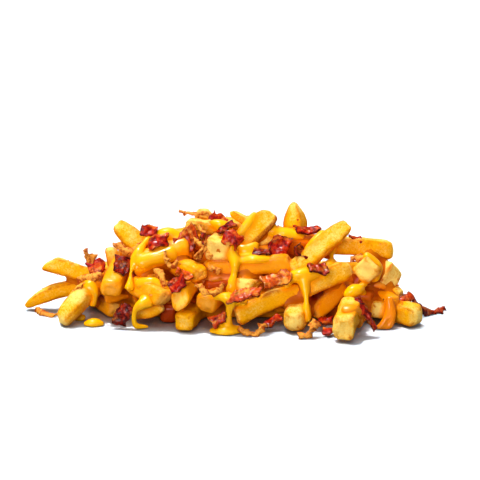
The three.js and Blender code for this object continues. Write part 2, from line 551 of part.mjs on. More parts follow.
// Every loose piece with its own form, and the same form grown by the gap that others keep from it.
function loosePieces() {
  const made = [];
  const add = (name, make, row, finish) => {
    made.push({ name, solid: make(row), reach: make(row, LOOSE_GAP), finish });
  };
  for (const [name, row] of Object.entries(BACON_BITS)) {
    add(name, baconBit, row, FINISHES.bacon);
  }
  for (const [name, row] of Object.entries(LOOSE_SHREDS)) {
    add(name, shred, row, row.meat ? FINISHES.bacon : FINISHES.onion);
  }
  for (const [name, row] of Object.entries(SAUCE_DROPS)) {
    add(name, sauceFlow, row, FINISHES.sauce);
  }
  return made;
}

// The core with every fry, flow and shred that lies on it, clear of the ground and the loose pieces.
function buildHeap(pieces, floor) {
  const parts = [heapCore()];
  for (const row of Object.values(FRONT_FRIES)) {
    parts.push(fry(row));
  }
  for (const row of [...Object.values(SHADED_FRIES), ...Object.values(BACK_FRIES)]) {
    parts.push(fry(row, true));
  }
  for (const row of Object.values(SAUCE_FLOWS)) {
    parts.push(sauceFlow(row));
  }
  for (const row of Object.values(ONION_SHREDS)) {
    parts.push(shred(row));
  }
  let heap = parts.reduce((sum, part) => sum.add(part)).subtract(floor);
  for (const piece of pieces) {
    heap = heap.subtract(piece.reach);
  }
  return largestBody(heap);
}

const object = new THREE.Group();
object.name = "loaded_fries";

const floor = ground();
const pieces = loosePieces();
object.add(meshOf("fries_heap", buildHeap(pieces, floor), FINISHES.heap));
pieces.forEach((piece, index) => {
  const clear = pieces.slice(0, index).reduce((rest, earlier) => rest.subtract(earlier.reach), piece.solid);
  object.add(meshOf(piece.name, largestBody(clear.subtract(floor)), piece.finish));
});

export default object;
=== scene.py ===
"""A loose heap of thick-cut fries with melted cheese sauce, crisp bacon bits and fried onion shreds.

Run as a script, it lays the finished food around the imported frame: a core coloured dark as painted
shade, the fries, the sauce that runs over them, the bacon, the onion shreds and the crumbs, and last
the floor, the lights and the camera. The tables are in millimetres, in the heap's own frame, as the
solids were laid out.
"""
import functools
import itertools
import math
import random

import bmesh
import bpy
import numpy as np
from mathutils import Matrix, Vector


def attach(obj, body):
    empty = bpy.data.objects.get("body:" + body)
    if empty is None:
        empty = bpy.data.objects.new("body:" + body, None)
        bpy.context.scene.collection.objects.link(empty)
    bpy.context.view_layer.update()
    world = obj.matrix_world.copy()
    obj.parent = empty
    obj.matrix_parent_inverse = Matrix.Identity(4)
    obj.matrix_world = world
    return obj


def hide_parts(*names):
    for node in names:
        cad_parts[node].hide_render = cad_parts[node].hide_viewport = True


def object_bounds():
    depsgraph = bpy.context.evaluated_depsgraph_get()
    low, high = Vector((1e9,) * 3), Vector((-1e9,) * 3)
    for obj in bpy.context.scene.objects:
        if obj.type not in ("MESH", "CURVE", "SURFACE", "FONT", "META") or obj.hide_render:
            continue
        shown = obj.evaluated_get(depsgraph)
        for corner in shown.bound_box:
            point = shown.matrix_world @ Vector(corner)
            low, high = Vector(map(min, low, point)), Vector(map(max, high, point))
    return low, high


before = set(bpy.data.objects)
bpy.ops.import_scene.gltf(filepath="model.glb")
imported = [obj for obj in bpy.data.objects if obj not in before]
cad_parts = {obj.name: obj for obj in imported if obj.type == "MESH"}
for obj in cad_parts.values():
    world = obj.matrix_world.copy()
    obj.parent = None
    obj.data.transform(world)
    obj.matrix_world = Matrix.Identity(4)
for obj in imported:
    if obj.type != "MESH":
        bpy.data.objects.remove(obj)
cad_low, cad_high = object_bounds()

import openvdb
from mathutils import Vector

bl_info = {
    "name": "Loaded fries",
    "version": (1, 0, 0),
    "blender": (4, 5, 0),
    "location": "View3D > Sidebar > Fries",
    "description": "Lays a heap of fries with cheese sauce, bacon bits and fried onion shreds",
    "category": "Object",
}

MM = 0.001

# What is taken off the tables' places, so that the whole stands over the middle of its own box.
BOX_MIDDLE = np.array([1.04, -0.37, 0.0])

# The upward share from which a line of travel counts as steep, and its sideways frame changes.
STEEP = 0.92

# The hidden body of the heap: rows of place along X, middle in Y, half depth and height.
CORE_RIBS = [
    (-78, 4, 3, 3), (-68, 5, 10, 8), (-56, 6, 17, 18), (-38, 8, 27, 28), (-14, 9, 29, 36),
    (12, 9, 29, 37), (34, 8, 28, 32), (54, 6, 25, 21), (70, 4, 18, 13), (82, 3, 4, 4),
]

# What a fry's row says where it says nothing else. Roll and slant are in degrees, and rise is how far its
# middle lifts. Taper is how far its free end narrows, as a share of its length, and to what share
# of its section, and far is the same of its buried end. Tone runs from -1, palest, over 0, pale, and 1,
# golden, to 2, and wet from 0, dry, to 1, filmed with sauce. Crust browns one side, corner is the
# rounding of the long edges as a share of the smaller side, and shade is painted shade, added to that of
# the hollows: above zero it darkens the fry, below zero it lightens it.
PLAIN_FRY = {
    "roll": 0, "slant": 0, "rise": 0, "taper": None, "far": (0.1, 0.8),
    "tone": 0.4, "wet": 0.0, "crust": 0.0, "corner": 0.3, "shade": 0.0,
}


def row(start, end, size, **more):
    """One fry's row: its free end, its buried end, its section, and what else is told of it."""
    return {**PLAIN_FRY, "start": start, "end": end, "size": size, **more}


def line(*path, **more):
    """The row of a flow or a shred: the points of its line, and what else is told of it."""
    return {"path": path, **more}


def bit(start, end, wide, roll, curl, fat=0.2, dark=0.15, pointed=False):
    """One bacon bit's row: its two ends, its width, its roll in degrees, how far it curls, how much of it
    is pale fat, how far it is crisped, and whether it runs to a point."""
    return {"start": start, "end": end, "wide": wide, "roll": roll, "curl": curl,
            "fat": fat, "dark": dark, "pointed": pointed}


# Fries of the side that faces the viewer.
FRONT_FRIES = {
    "wing_left": row((-95.5, -2, 25.4), (-62, -8, 16.5), (12, 9), roll=-18, slant=34, tone=0.6),
    "tail_left": row(
        (-109, -3, 2), (-70, -2, 13), (10, 8.8), rise=3.2, taper=(0.55, 0.3), tone=0.7, corner=0.42,
    ),
    "leg_left": row(
        (-86, -29, 3), (-69, -12, 20), (12, 11), taper=(0.4, 0.66), roll=20, tone=0.1, corner=0.45,
    ),
    "horn_left": row(
        (-60.3, 2, 46), (-37, -6, 25.5), (12.5, 8.5), roll=60, taper=(0.55, 0.42), tone=0.45,
    ),
    "nose_left": row((-61, -28, 19), (-57, -4, 26), (11.5, 9.5), slant=12, tone=0.9, wet=0.8, corner=0.4),
    "base_left": row((-59, -14, 5.4), (-74, 6, 6), (11, 10.6), tone=0.6, wet=0.6, shade=0.1),
    "saucy_left": row(
        (-50, -16, 27), (-21, -11, 37), (12.5, 12.5), roll=38, rise=1, tone=0.6, wet=1.0, corner=0.4,
    ),
    "sliver": row((-45, -20, 22), (-36, -12, 24), (7, 6), taper=(0.4, 0.4), tone=0.3),
    "saucy_middle": row((-33, -32, 16), (-50, -18, 19), (11, 10), slant=-20, roll=15, tone=0.3, wet=0.55),
    "floor_wedge": row(
        (-35, -27, 9), (-50, -22, 5), (9, 9), taper=(0.6, 0.25), far=(0.2, 0.7), rise=1, tone=0.5,
    ),
    "cube_end": row((-24, -38, 5.3), (-16, -10, 5.3), (10.5, 10.4), tone=1.5),
    "middle_wedge": row(
        (-26, -37, 17), (-18, -10, 22.5), (11, 9), slant=38, roll=-25, tone=1.3, wet=0.5, corner=0.42,
    ),
    "mottled_end": row(
        (-15, -28, 27), (-32, -8, 28), (11, 10.5), taper=(0.2, 0.72), tone=0.9, wet=0.6, corner=0.45,
    ),
    "top_log": row((-24, 2, 45), (0, 0, 43.5), (9, 7.5), taper=(0.2, 0.7), tone=0.1, shade=-0.4),
    "top_tip": row((-17, 9, 50.6), (-8, 4, 43), (8, 7), taper=(0.2, 0.75), tone=-0.2, shade=-0.3),
    "pale_block": row((-7, -21, 38), (-1, 4, 37), (13.8, 11.4), tone=-0.25, wet=0.1, corner=0.16),
    "long_beam": row(
        (30, -20, 31.5), (-14, -17, 26.5), (11, 10), slant=18, roll=6, tone=1.1, wet=0.5, shade=0.12,
    ),
    "lower_log": row((2, -32, 7), (38, -21, 17), (12, 10.8), rise=1.5, roll=-8, tone=0.65),
    "leaf_top": row(
        (21, -2, 52.5), (4.5, -11, 38.5), (13, 6), roll=-56, taper=(0.3, 0.45), far=(0.2, 0.7), tone=0.5,
        crust=1.0, corner=0.2,
    ),
    "blade_top": row(
        (32, 6, 57), (33.5, 1, 36), (10.8, 8), roll=32, taper=(0.7, 0.12), far=(0.1, 0.9), tone=0.5,
        crust=0.3, corner=0.14,
    ),
    "thin_tip": row((-1, 4, 51.5), (12, 0, 44), (5, 5), taper=(0.5, 0.4), tone=0.6),
    "flat_fry": row(
        (25, -3, 42), (5, -8, 37), (8.5, 7), roll=10, taper=(0.3, 0.5), tone=-0.5, shade=-0.5,
    ),
    "long_lean": row((60, -9, 48.5), (30, -23, 25.5), (10.8, 8.6), roll=-48, taper=(0.3, 0.45), tone=0.3),
    "right_beam": row((83, 0, 32), (42, -3, 36.4), (10, 10), roll=4, tone=0.55, corner=0.24),
    "right_log": row((59, -19, 28), (34, -27, 19.5), (12, 11.6), roll=12, taper=(0.25, 0.6), tone=0.35),
    "diamond_end": row((67.5, -25, 28.6), (74, 3, 21), (12, 12), roll=45, tone=0.1, wet=0.2, corner=0.22),
    "pale_right": row(
        (83.5, -6, 25.5), (74, -12, 8), (12, 10.6), roll=10, slant=-20, tone=-1.0, shade=-0.4, corner=0.2,
    ),
    "front_leg": row((54.5, -53.48, 7.2), (60, -37, 14.6), (11.4, 13), slant=25, tone=0.5, shade=-0.3),
    "small_box": row((74, -28, 8), (77, -8, 6), (8.4, 8.6), roll=5, tone=0.7),
    "block_right": row((93.5, -30, 6), (74, -10, 6.5), (12.8, 12), taper=(0.16, 0.78), tone=0.6),
    "crumb_ball": row((87, -14, 14.5), (78, -9, 9), (8, 6.5), taper=(0.3, 0.6), tone=0.1),
    "pillow": row((30.5, -41, 6.6), (38, -14, 8), (12.6, 13), taper=(0.24, 0.72), corner=0.42, tone=0.0),
    "saucy_centre": row(
        (-13, -35, 14), (-2, -12, 17), (11.4, 12), roll=12, tone=0.9, wet=0.85, corner=0.4,
    ),
}

# Fries that show only between the others, in their shade, which their rows paint on them as painted
# shade.
SHADED_FRIES = {
    "flat_under": row(
        (41.5, -29, 7), (56, -16, 17), (10, 8), roll=-20, slant=10, tone=0.9, wet=0.5, shade=0.24,
    ),
    "pale_end": row((5, -30, 22), (16, -10, 19), (11, 7.5), roll=10, tone=0.1),
    "saucy_right": row((83, -27, 12), (74, -10, 10), (8, 8.4), roll=10, tone=0.5, wet=1.0),
    "leg_rest": row((61, -37, 6), (67, -14, 8), (9, 9), tone=0.6, wet=0.7, shade=0.25),
    "shade_post": row((-33, -25, 5), (-30, -6, 6), (9, 10), tone=0.8, wet=0.8, shade=1.2, corner=0.16),
    "shade_beam": row((72, -19, 10.5), (50, -14, 13), (11, 11), tone=0.8, wet=0.8, shade=0.6),
    "shade_block": row((49, -19, 5), (58, -2, 8), (10.5, 10.5), tone=0.8, wet=0.8, shade=0.8),
    "shade_centre": row((-14, -26, 19), (12, -22, 20), (11, 10), tone=0.8, wet=0.9, shade=0.95),
    "shade_top": row((24, -3, 38), (52, -4, 34.5), (12, 11), roll=14, tone=0.6, wet=1.0, shade=0.5),
    "lean_centre": row((-45, -4, 36), (-14, -1, 37.5), (11, 9), tone=0.5, wet=0.9, shade=0.2),
    "shade_left": row((-66, -16, 14), (-44, -10, 18), (12, 11), roll=10, tone=0.6, wet=0.9, shade=0.25),
    "shade_glossy": row((74.5, -16, 14), (70, 4, 12), (11, 11), tone=0.7, wet=0.9, shade=0.12),
    "stub_back": row((-64, 7, 31), (-59, 4, 8), (8, 8), taper=(0.2, 0.7), tone=0.3),
}

# Fries of the far side, which close the heap all round.
BACK_FRIES = {
    "floor_a": row((-88, 11, 5.2), (-54, 20, 6), (11, 10.4), tone=0.5),
    "floor_b": row((-66, 38, 5.2), (-36, 22, 8), (11, 10.4), tone=0.3),
    "floor_c": row((-46, 47, 5.2), (-14, 34, 7), (10.5, 10.4), tone=0.6),
    "floor_d": row((-22, 51, 5.2), (-8, 22, 9), (11, 10.4), tone=0.2),
    "floor_e": row((-2, 49, 5.2), (32, 38, 7), (10.5, 10.4), tone=0.5),
    "floor_f": row((24, 53, 6), (32, 22, 10), (11, 10.8), tone=0.3),
    "floor_g": row((44, 49, 5.2), (68, 24, 6), (11, 10.4), tone=0.5),
    "floor_h": row((88, 17, 5.2), (56, 22, 7), (10.5, 10.4), tone=0.6),
    "floor_i": row((76, 42, 5.2), (50, 20, 9), (11, 10.4), taper=(0.35, 0.4), tone=0.4),
    "middle_a": row((-74, 22, 13), (-42, 12, 18), (10.5, 10), roll=12, tone=0.4),
    "middle_b": row((-56, 36, 14), (-22, 26, 18), (11, 10), rise=1.5, tone=0.3),
    "middle_c": row((-30, 43, 16), (2, 28, 18), (11, 10), roll=20, tone=0.6),
    "middle_d": row((30, 40, 18), (-4, 34, 15), (11, 10.5), rise=2, tone=0.35),
    "middle_e": row((14, 48, 16), (44, 24, 15), (10.5, 10), roll=-10, tone=0.5),
    "middle_f": row((70, 30, 9.5), (38, 30, 12.5), (11, 10), slant=20, tone=0.3),
    "middle_g": row((80, 14, 16), (46, 10, 18), (10.5, 10), roll=25, tone=0.5),
    "upper_a": row((-60, 14, 27), (-28, 14, 27), (11, 10), roll=8, tone=0.3),
    "upper_b": row((-46, 31, 24), (-10, 20, 28), (11, 10), taper=(0.3, 0.5), tone=0.5),
    "upper_c": row((-10, 38, 27), (12, 18, 29), (11, 10), roll=30, tone=0.2),
    "upper_d": row((40, 30, 25), (8, 24, 28), (10.5, 10), rise=1.5, tone=0.5),
    "upper_e": row((45, 17, 21.5), (20, 18, 24), (11, 10), roll=-12, tone=0.4),
    "crown_a": row((-44, 14, 33), (-14, 14, 36), (10.5, 9.5), roll=20, tone=0.4, wet=0.3),
    "crown_b": row((-20, 26, 35), (4, 10, 39), (10.5, 9.5), tone=0.3),
    "crown_c": row((2, 26, 35), (28, 8, 37), (10.5, 9.5), roll=14, tone=0.5, wet=0.3),
    "crown_d": row((-8, 12, 41), (22, 8, 41.5), (10, 9), roll=10, tone=0.3, wet=0.2),
}

# Thick sauce: each flow is a line of points with a radius. Squash flattens it in height, spread is how
# far its film runs over the fries round it, and shade darkens it.
SAUCE_FLOWS = {
    "dome_left": line((-38, -4, 41.5, 3), (-33, -4, 42.5, 3.6), (-28, -4, 41, 3), squash=0.7),
    "rope_left": line(
        (-43, -8, 40, 1.3), (-47, -14, 37, 1.6), (-50, -18, 32, 1.3), (-51, -22, 27, 1.2),
        (-52, -26, 20, 1.4), spread=0.8,
    ),
    "coat_saucy": line((-45, -20, 31, 1.4), (-39, -19, 33.5, 2), (-31, -17.5, 35.5, 1.6), spread=1.8),
    "ridge": line((-46, -24, 22, 1.5), (-40, -26, 24, 1.9), (-33, -26, 22, 1.6), spread=1.2),
    "drip_left": line(
        (-42, -32, 13, 2.2), (-45, -33, 13.2, 2.7), (-48.4, -33, 10.6, 1.6), (-49.2, -33, 5.4, 1.2),
        (-48, -33, 1.8, 1.5), (-42.5, -31.5, 0.8, 0.9), spread=1.2,
    ),
    "dome_top": line(
        (-9, -3, 48.2, 1.2), (-6.6, -3.5, 47.2, 2.5), (-4, -4, 46, 2.2), squash=0.8, spread=1.2,
    ),
    "flow_centre": line(
        (-2.5, -13, 41, 2), (-0.5, -17, 38.5, 2.4), (2, -24, 33, 2), (1, -26, 26, 1.3), (0, -28, 20, 0.9),
        spread=1,
    ),
    "coat_crown": line((3, -13, 37, 1.8), (7, -14, 36, 2.2), (12, -13, 37, 1.8), spread=1.6),
    "dome_beam": line((6, -21, 33, 2.4), (11, -22, 34, 3), (18, -21, 33.6, 2.4), squash=0.6, spread=1),
    "rope_top": line((11, -4, 51.5, 1.1), (8, -7, 48, 1.6), (4.5, -10, 43, 1.9), spread=0.5),
    "ribbon_top": line((20, -4, 43, 2.4), (27, -5, 42.5, 3), (33, -6, 42, 2.4), squash=0.8),
    "ribbon_lean": line((46, -11, 43.5, 2), (42, -13, 39, 2.8), (39, -16, 35, 2.2), spread=0.8),
    "pool_right": line(
        (28, -27, 24, 2), (33, -29, 27, 3), (39, -28, 28, 2.7), (43, -27, 28.5, 1.7), spread=1,
    ),
    "drip_right": line(
        (36, -31, 24, 2.2), (37, -34, 18, 1.3), (37.5, -36, 12, 1.8), (38.5, -37, 7.6, 1), spread=0.6,
    ),
    "coat_centre": line((-7, -36.5, 19, 1.8), (-1, -37, 18, 2.8), (5, -34, 15, 2.2), spread=1.4),
    "drip_centre": line((0, -37, 16, 2.8), (-1.6, -38, 10, 1.6), (-2.2, -37, 4, 2.6), spread=1.0),
    "puddle": line(
        (-8, -37, 0.8, 3.6), (-3, -37.5, 1.2, 5.6), (3, -36.5, 0.8, 3.8), squash=0.5, spread=0.6,
    ),
    "coat_diamond": line((68.5, -19, 35, 1.2), (74.5, -20, 29.5, 1.6), (73.5, -20, 23, 1.5), spread=0.8),
    "dome_right": line((59, -27, 16.5, 2.4), (62, -26, 18.5, 3.4), (65, -24, 18, 2.4)),
    "patch_leg": line(
        (56, -48, 15.6, 1.2), (60, -47.5, 15.6, 1.7), (64.5, -44, 12, 1.2), spread=1, shade=0.35,
    ),
    "flow_right": line(
        (79, -28, 14, 1.2), (79, -30, 9, 1.6), (77.5, -32, 5, 1.7), (74.5, -33, 1.6, 1.4),
        (71.5, -33, 0.8, 0.8), spread=0.4, shade=0.5,
    ),
    "flow_toe": line(
        (80, -28, 13, 1), (81, -31, 8, 1.2), (80, -33, 2, 1.5), (76, -33.5, 1, 1.3), spread=0.3,
        shade=0.5,
    ),
    "string": line((51, -8, 34.5, 1.8), (51, -14, 31, 0.9), (49, -20, 29.5, 1.8), spread=0.5),
    "coat_far_left": line((-72, -20, 19.5, 1.5), (-69, -22, 15, 1.3), (-70, -21, 9, 1), spread=1.4),
    "coat_back_a": line((-34, 20, 33, 3), (-28, 26, 31, 4), (-24, 34, 22, 3), (-22, 40, 17, 2.2)),
    "coat_back_b": line(
        (8, 16, 43, 3), (14, 22, 38, 3.8), (18, 30, 30, 3), (22, 38, 23, 3), (24, 44, 15, 2),
    ),
    "coat_back_c": line((34, 16, 31, 3), (38, 22, 28, 3.8), (43, 31, 21, 2.8)),
}

# Onion shreds that lie on the heap: a line of points, a width, and the strip's roll in degrees.
ONION_SHREDS = {
    "flake_left": line((-75, -7, 35), (-74, -8, 31), (-70, -9, 26), (-66, -7, 21), wide=5.4, roll=70),
    "strip_left": line((-79, -16, 21.5), (-73, -18.5, 23), (-66, -19.5, 25), wide=3.8, roll=55),
    "thread_left": line((-80, -21, 16.5), (-77, -21, 19), (-73, -19, 21), wide=2, roll=30),
    "boomerang": line(
        (-61, -7, 37.5), (-54, -12, 35.5), (-49, -12, 36.5), (-46, -10, 39), wide=3.6, roll=50,
    ),
    "crest": line((-27.5, 4, 52.4), (-21, 3.4, 50.8), (-14, 3, 51.6), (-10, 3, 50.6), wide=2.2, roll=20),
    "long_centre": line(
        (-17, -9, 47.5), (-14.5, -15, 43), (-15.5, -19, 38), (-19, -22, 34.5), wide=5.6, roll=70,
    ),
    "curl_centre": line(
        (-33.5, -21, 37.5), (-33, -24, 33), (-30.5, -25, 31.4), (-27, -24, 33), wide=2.6, roll=50,
    ),
    "strand_centre": line(
        (-20, -12, 43), (-16.5, -18, 41), (-12, -20, 38), (-10.5, -22, 33.5), wide=2.2, roll=40,
    ),
    "flake_pale": line((-12, -25, 29.4), (-8.5, -26, 29.8), (-5.6, -26, 29), wide=2.6, roll=50),
    "shred_centre": line((-39, -24, 29), (-36, -28, 26.5), (-33, -30, 22), wide=3, roll=60),
    "hook": line((-18, -36, 25), (-13, -39, 21.5), (-7, -38, 22), (-4, -36, 25.5), wide=2.8, roll=60),
    "flake_right": line((61, -10, 31), (66, -12, 31.8), (72, -12, 32.6), wide=4, roll=30),
    "back_b": line((0, 34, 33), (8, 34, 31), (12, 38, 25), wide=4, roll=-50),
}

# Bacon bits: each is a crumpled slab from one place to another.
BACON_BITS = {
    "bacon_01": bit((-73, -15, 25), (-65, -15, 29), 7.5, 60, 0.8),
    "bacon_02": bit((-60, -20, 30.5), (-51, -20, 30), 9, 68, -1, dark=0.8),
    "bacon_03": bit((-47, -6, 44.5), (-38, -6, 43.5), 6.4, 55, 0.8),
    "bacon_04": bit((-42.5, -16, 40.4), (-32, -16, 41.8), 7, 58, -0.8),
    "bacon_05": bit((-28, -13.5, 37.8), (-17.5, -12.5, 45), 10.6, 66, 2.4, fat=0.5, dark=0.4),
    "bacon_06": bit((-10.6, -1, 51.6), (-3, -2, 47.4), 5, 62, 0.5),
    "bacon_07": bit((-7, -8, 44), (1.5, -8, 49), 4, 40, 0.5, dark=0.5),
    "bacon_08": bit((-3.4, -19.5, 46), (4.6, -20.5, 41), 8, 70, -0.6),
    "bacon_09": bit((-15.2, -18, 46), (-12.8, -18, 41.6), 3.4, 60, 0.4, dark=0.6),
    "bacon_10": bit((-53, -32, 13), (-56.6, -33, 1.6), 8, 15, 0.8, dark=0.9),
    "bacon_11": bit((-31, -34.5, 22.4), (-23, -34.5, 26.2), 6.6, 64, 0.5, fat=0.2),
    "bacon_12": bit((-28, -30, 29.3), (-19.5, -31, 27), 5, 30, 1.4, fat=0.9),
    "bacon_13": bit((-10, -39.5, 5), (-3, -39.5, 11), 7.4, 60, 0.5, pointed=True, fat=0.4),
    "bacon_14": bit((19.2, -16, 40.8), (29.4, -16, 37.8), 10, 74, 0.5, fat=0),
    "bacon_15": bit((11, -20, 36.5), (19.5, -20, 37), 4.8, 28, 0.8, dark=0.9),
    "bacon_16": bit((32, -6, 44.6), (45, -6, 44.6), 5.4, 14, 1.2, dark=0.3),
    "bacon_17": bit((32, -21, 40), (38, -20, 34.5), 6.4, 60, 2.4, dark=0.8),
    "bacon_18": bit((38, -30.6, 31.2), (48, -29.6, 31.2), 6.4, 26, 0.8, dark=0.6),
    "bacon_19": bit((15.4, -30.2, 23), (29.4, -30.2, 28.1), 7, 48, 1.8, fat=1, dark=0.25),
    "bacon_20": bit((-2.6, -40, 18.6), (15, -38, 21.8), 6, 46, -1.4, fat=0.75, dark=0.25),
    "bacon_21": bit((16, -37, 2.4), (24.5, -34, 8), 4.4, 40, 0.6, dark=0.3),
    "bacon_22": bit((43, -35.6, 5.8), (51, -34.6, 5), 4.6, 30, 0.5, dark=0.2),
    "bacon_23": bit((45.4, -43, 2.2), (52.6, -41, 2.6), 5, 20, 0.4, fat=0.2),
    "bacon_24": bit((61, -3, 39.6), (67.2, -3, 38.2), 4.2, 20, 0.5),
    "bacon_25": bit((61.6, -43.5, 19.2), (71.7, -44, 3.2), 6, 66, -1.2, pointed=True, dark=0.6),
    "bacon_26": bit((-45.9, 20.8, 32.8), (-37.8, 24.2, 33.1), 8, -52, 1),
    "bacon_27": bit((-4.1, 19.4, 41.9), (4.7, 19.3, 41.8), 7.4, -51, 1, dark=0.4),
    "bacon_28": bit((15.4, 33.1, 32.4), (24.3, 34.5, 30.6), 8, -45, 1, fat=0.4),
    "bacon_29": bit((-33.9, 29.7, 32.4), (-26, 30.5, 33.4), 7.4, -39, 1),
    "bacon_30": bit((73.1, 34.6, 12.2), (67.1, 39.8, 12.4), 7.4, 30, 0.8, dark=0.6),
}

# Shreds that lie loose at the heap's foot, and a long strip of bacon that trails off to the right.
LOOSE_ONIONS = {
    "onion_left": line(
        (-102, -9, 3), (-98, -12, 1.4), (-93, -14, 1.2), (-88.6, -14.5, 2.6), wide=2.2, roll=30,
    ),
    "onion_front": line(
        (4, -40, 4), (7, -42, 1.4), (12, -43, 1.6), (15, -42, 5), (17, -41, 6), wide=3, roll=40,
    ),
    "onion_right": line((33, -47, 1.4), (38, -46, 2), (39.5, -45, 6), (41.5, -44, 9), wide=4.6, roll=50),
}
BACON_TAIL = line(
    (77, -23, 13), (85, -22, 10.6), (91.5, -20, 13.2), (96, -16, 7), (101, -12, 2.6), (106, -9, 1.6),
    (110.93, -8, 3.4), wide=4.4, roll=50,
)

# What lies beside the heap: a drop of sauce and a crumb under sauce.
SAUCE_DROPS = {
    "sauce_drop": line((-73, -27, 1, 2.2), (-70, -27, 1.4, 3.4), (-67, -27, 1, 2.2), squash=0.7),
    "crumb_drop": line((-79.6, -19, 1.2, 1.8), (-77.2, -19, 1.4, 2.2), squash=0.8),
}

# The camera of the picture: what it looks at, in millimetres in the part's frame, how far away it
# stands, how high it looks down from, and its lens.
CAMERA_TARGET = (3.16, 0.37, 37.4)
CAMERA_DISTANCE = 693
CAMERA_ELEVATION = 16
CAMERA_LENS = 100
CAMERA_SENSOR = 36

# How a fry's ends are made, in millimetres: the rounding of the cut edge, the places of the first rings
# of points, and how far its faces sink between the edges.
END_ROUND = 2.1
END_RINGS = (0, 0.12, 0.45, 1.0, 1.6, 2.4)
FACE_SINK = 0.35

# How a cut end may lean, as a slope, how far from it that is felt, and over what share of the length a
# slanted cut is taken up.
END_TILT = 0.14
TILT_REACH = 5
SLANT_SHARE = 0.3

# How fries differ: how far they bow sideways and upwards, as shares of their length, how far they
# taper, as a share of their section, and their twist in degrees. Then the share of the length where
# they aren't turned.
SWAY_RANGE = 0.012
RISE_RANGE = 0.008
TAPER_RANGE = 0.05
TWIST_RANGE = 9
TWIST_STILL = 0.3

# How full a fry is and how high its long bulges are, as shares of its section, how many millimetres of
# its length a bulge takes for each radian, and how bluntly a tapered end narrows.
FULLNESS = 0.97
BULGE = 0.035
BULGE_LENGTH = 6.5
TIP_POWER = 0.75

# Each kind of roughness: the size of its largest waves in millimetres, how many layers of finer ones
# lie in it, and a seed of its own.
ROUGHNESS = {
    "fry wave": (9.0, 2, 1), "fry nibble": (4.0, 2, 5), "fry blister": (2.6, 2, 9),
    "fry end": (5.0, 2, 13),
    "bit edge": (2.1, 3, 21), "bit crumple": (3.4, 3, 31), "bit body": (1.7, 2, 41),
    "bit grain": (0.9, 2, 51), "bit streak": (4.0, 2, 61),
    "strip edge": (1.6, 2, 71), "strip width": (2.6, 2, 81), "strip body": (1.4, 2, 91),
    "strip lift": (3.5, 2, 95), "strip grain": (0.8, 2, 99),
    "crumb": (0.9, 2, 3),
}

# How high a fry's waves, blisters, nibbled edges and rough ends are, in millimetres.
FRY_WAVE = 0.5
FRY_BLISTER = 0.26
FRY_NIBBLE = 0.5
FRY_LUMP = 0.9

# Bacon bits, in millimetres: the distance between their points, how ragged and how crumpled they are.
# Then what share of their thickness is left at the rim.
BIT_CELL = 0.42
BIT_RAGGED = 0.85
BIT_CRUMPLE = 0.5
BIT_RIM = 0.42

# How thick the long strip of bacon is, how ragged it and the shreds are, and how low bits and strips
# may lie, in millimetres. Then how far the strips curl across, as a share of their half width.
TAIL_THICK = 1.5
TAIL_RAGGED = 0.7
SHRED_RAGGED = 1.3
LOWEST = 0.1
STRIP_CURL = 0.5

# The crumbs: the finish of each kind, how many there are, and the share that is strewn from above,
# while the others are strewn from the front.
CRUMBS = {"bacon_crumbs": ("bacon", 14, 1.0), "onion_crumbs": ("onion", 80, 0.75)}
CRUMB_SEED = 17

# How many fries lie round the core, besides those of the tables, the part of the length that they are
# in, how low their ends may lie, and the seed of their draws.
INNER_FRIES = 52
INNER_START = -68
INNER_SPAN = 146
INNER_LOWEST = 6
INNER_SEED = 11

# The distance that counts as far from everything, and how far the grid runs past the box and under the
# floor, in millimetres.
FAR = 12.0
FIELD_MARGIN = 3
FIELD_BOTTOM = -1.2

# How many pieces each span of a flow's line is cut into, and of a shred's, and how far round a flow its
# distances are worked out, in millimetres.
PATH_STEPS = 4
STRIP_STEPS = 14
FLOW_SPARE = 4

# How softly the fries' distances and the flows melt into each other, how far past a flow its film
# spreads, how softly the film ends, and how much the flows and their films waver.
MELT = 2.2
FLOW_MELT = 2.4
FILM_SPREAD = 2.2
FILM_MELT = 1.2
FILM_WAVER = 0.5
FLOW_WAVER = 0.2

# How far over the floor the sauce and the drops end, in millimetres.
SAUCE_LOWEST = 0.15
DROP_LOWEST = 0.1

# The grid of the drops: its cell and its margin round a drop's line, in millimetres.
DROP_CELL = 0.3
DROP_MARGIN = 7

# Between which distances a fry goes from dry to wet beside the sauce, and sauce from thin to thick over
# the fries, in millimetres.
WET_REACH = (2.6, 0.4)
THICK_REACH = (0.6, 2.4)

# Loose scraps that have fewer points than these are taken off the core, the sauce and the drops.
CORE_SCRAP = 60
SAUCE_SCRAP = 400
DROP_SCRAP = 20

# The inside, which is coloured dark as painted shade: how far in it keeps under its own ribs and how
# far over the floor, in millimetres, the share of filled cells round a place from which it is filled, how
# many cells of the coarse grid that share is taken over, and the length that counts as much as the whole
# share. The last says that the coarse grid has every second place of the fine one.
RIB_DEPTH = 3.0
CORE_LOWEST = 0.6
CORE_FILL = 0.6
CORE_BLUR = 2
SHARE_LENGTH = 10
COARSE = 2

# Hollows between the fries, which the finishes darken with painted shade: how many cells the filled
# share is taken over, and the shares at which a hollow starts and is deepest.
HOLLOW_REACH = 3
HOLLOW = (0.52, 0.75)

# The lights: the sky, and each lamp's kind, place in metres, power, spread in degrees or size, and
# what it lights: all, the heap alone or the floor alone.
SKY = 0.22
LAMPS = (
    ("SUN", (-0.22, 0.1, 1.0), 3.0, 12, "all"),
    ("SUN", (-0.4, -1.0, 0.4), 1.62, 26, "heap"),
    ("SUN", (-0.1, 0.0, 1.0), 1.1, 44, "floor"),
    ("AREA", (-0.12, 0.16, 0.4), 0.7, (0.3, 0.12), "all"),
    ("AREA", (-0.12, -0.3, 0.5), 0.5, (0.1, 0.05), "heap"),
    ("AREA", (-0.03, -0.34, 0.14), 0.1, (0.3, 0.04), "heap"),
)

# How light the floor is for the light that it throws back up under the heap, and in its mottle, each as
# a share of its colour.
FLOOR_BOUNCE = 0.34
FLOOR_MOTTLE = 0.98

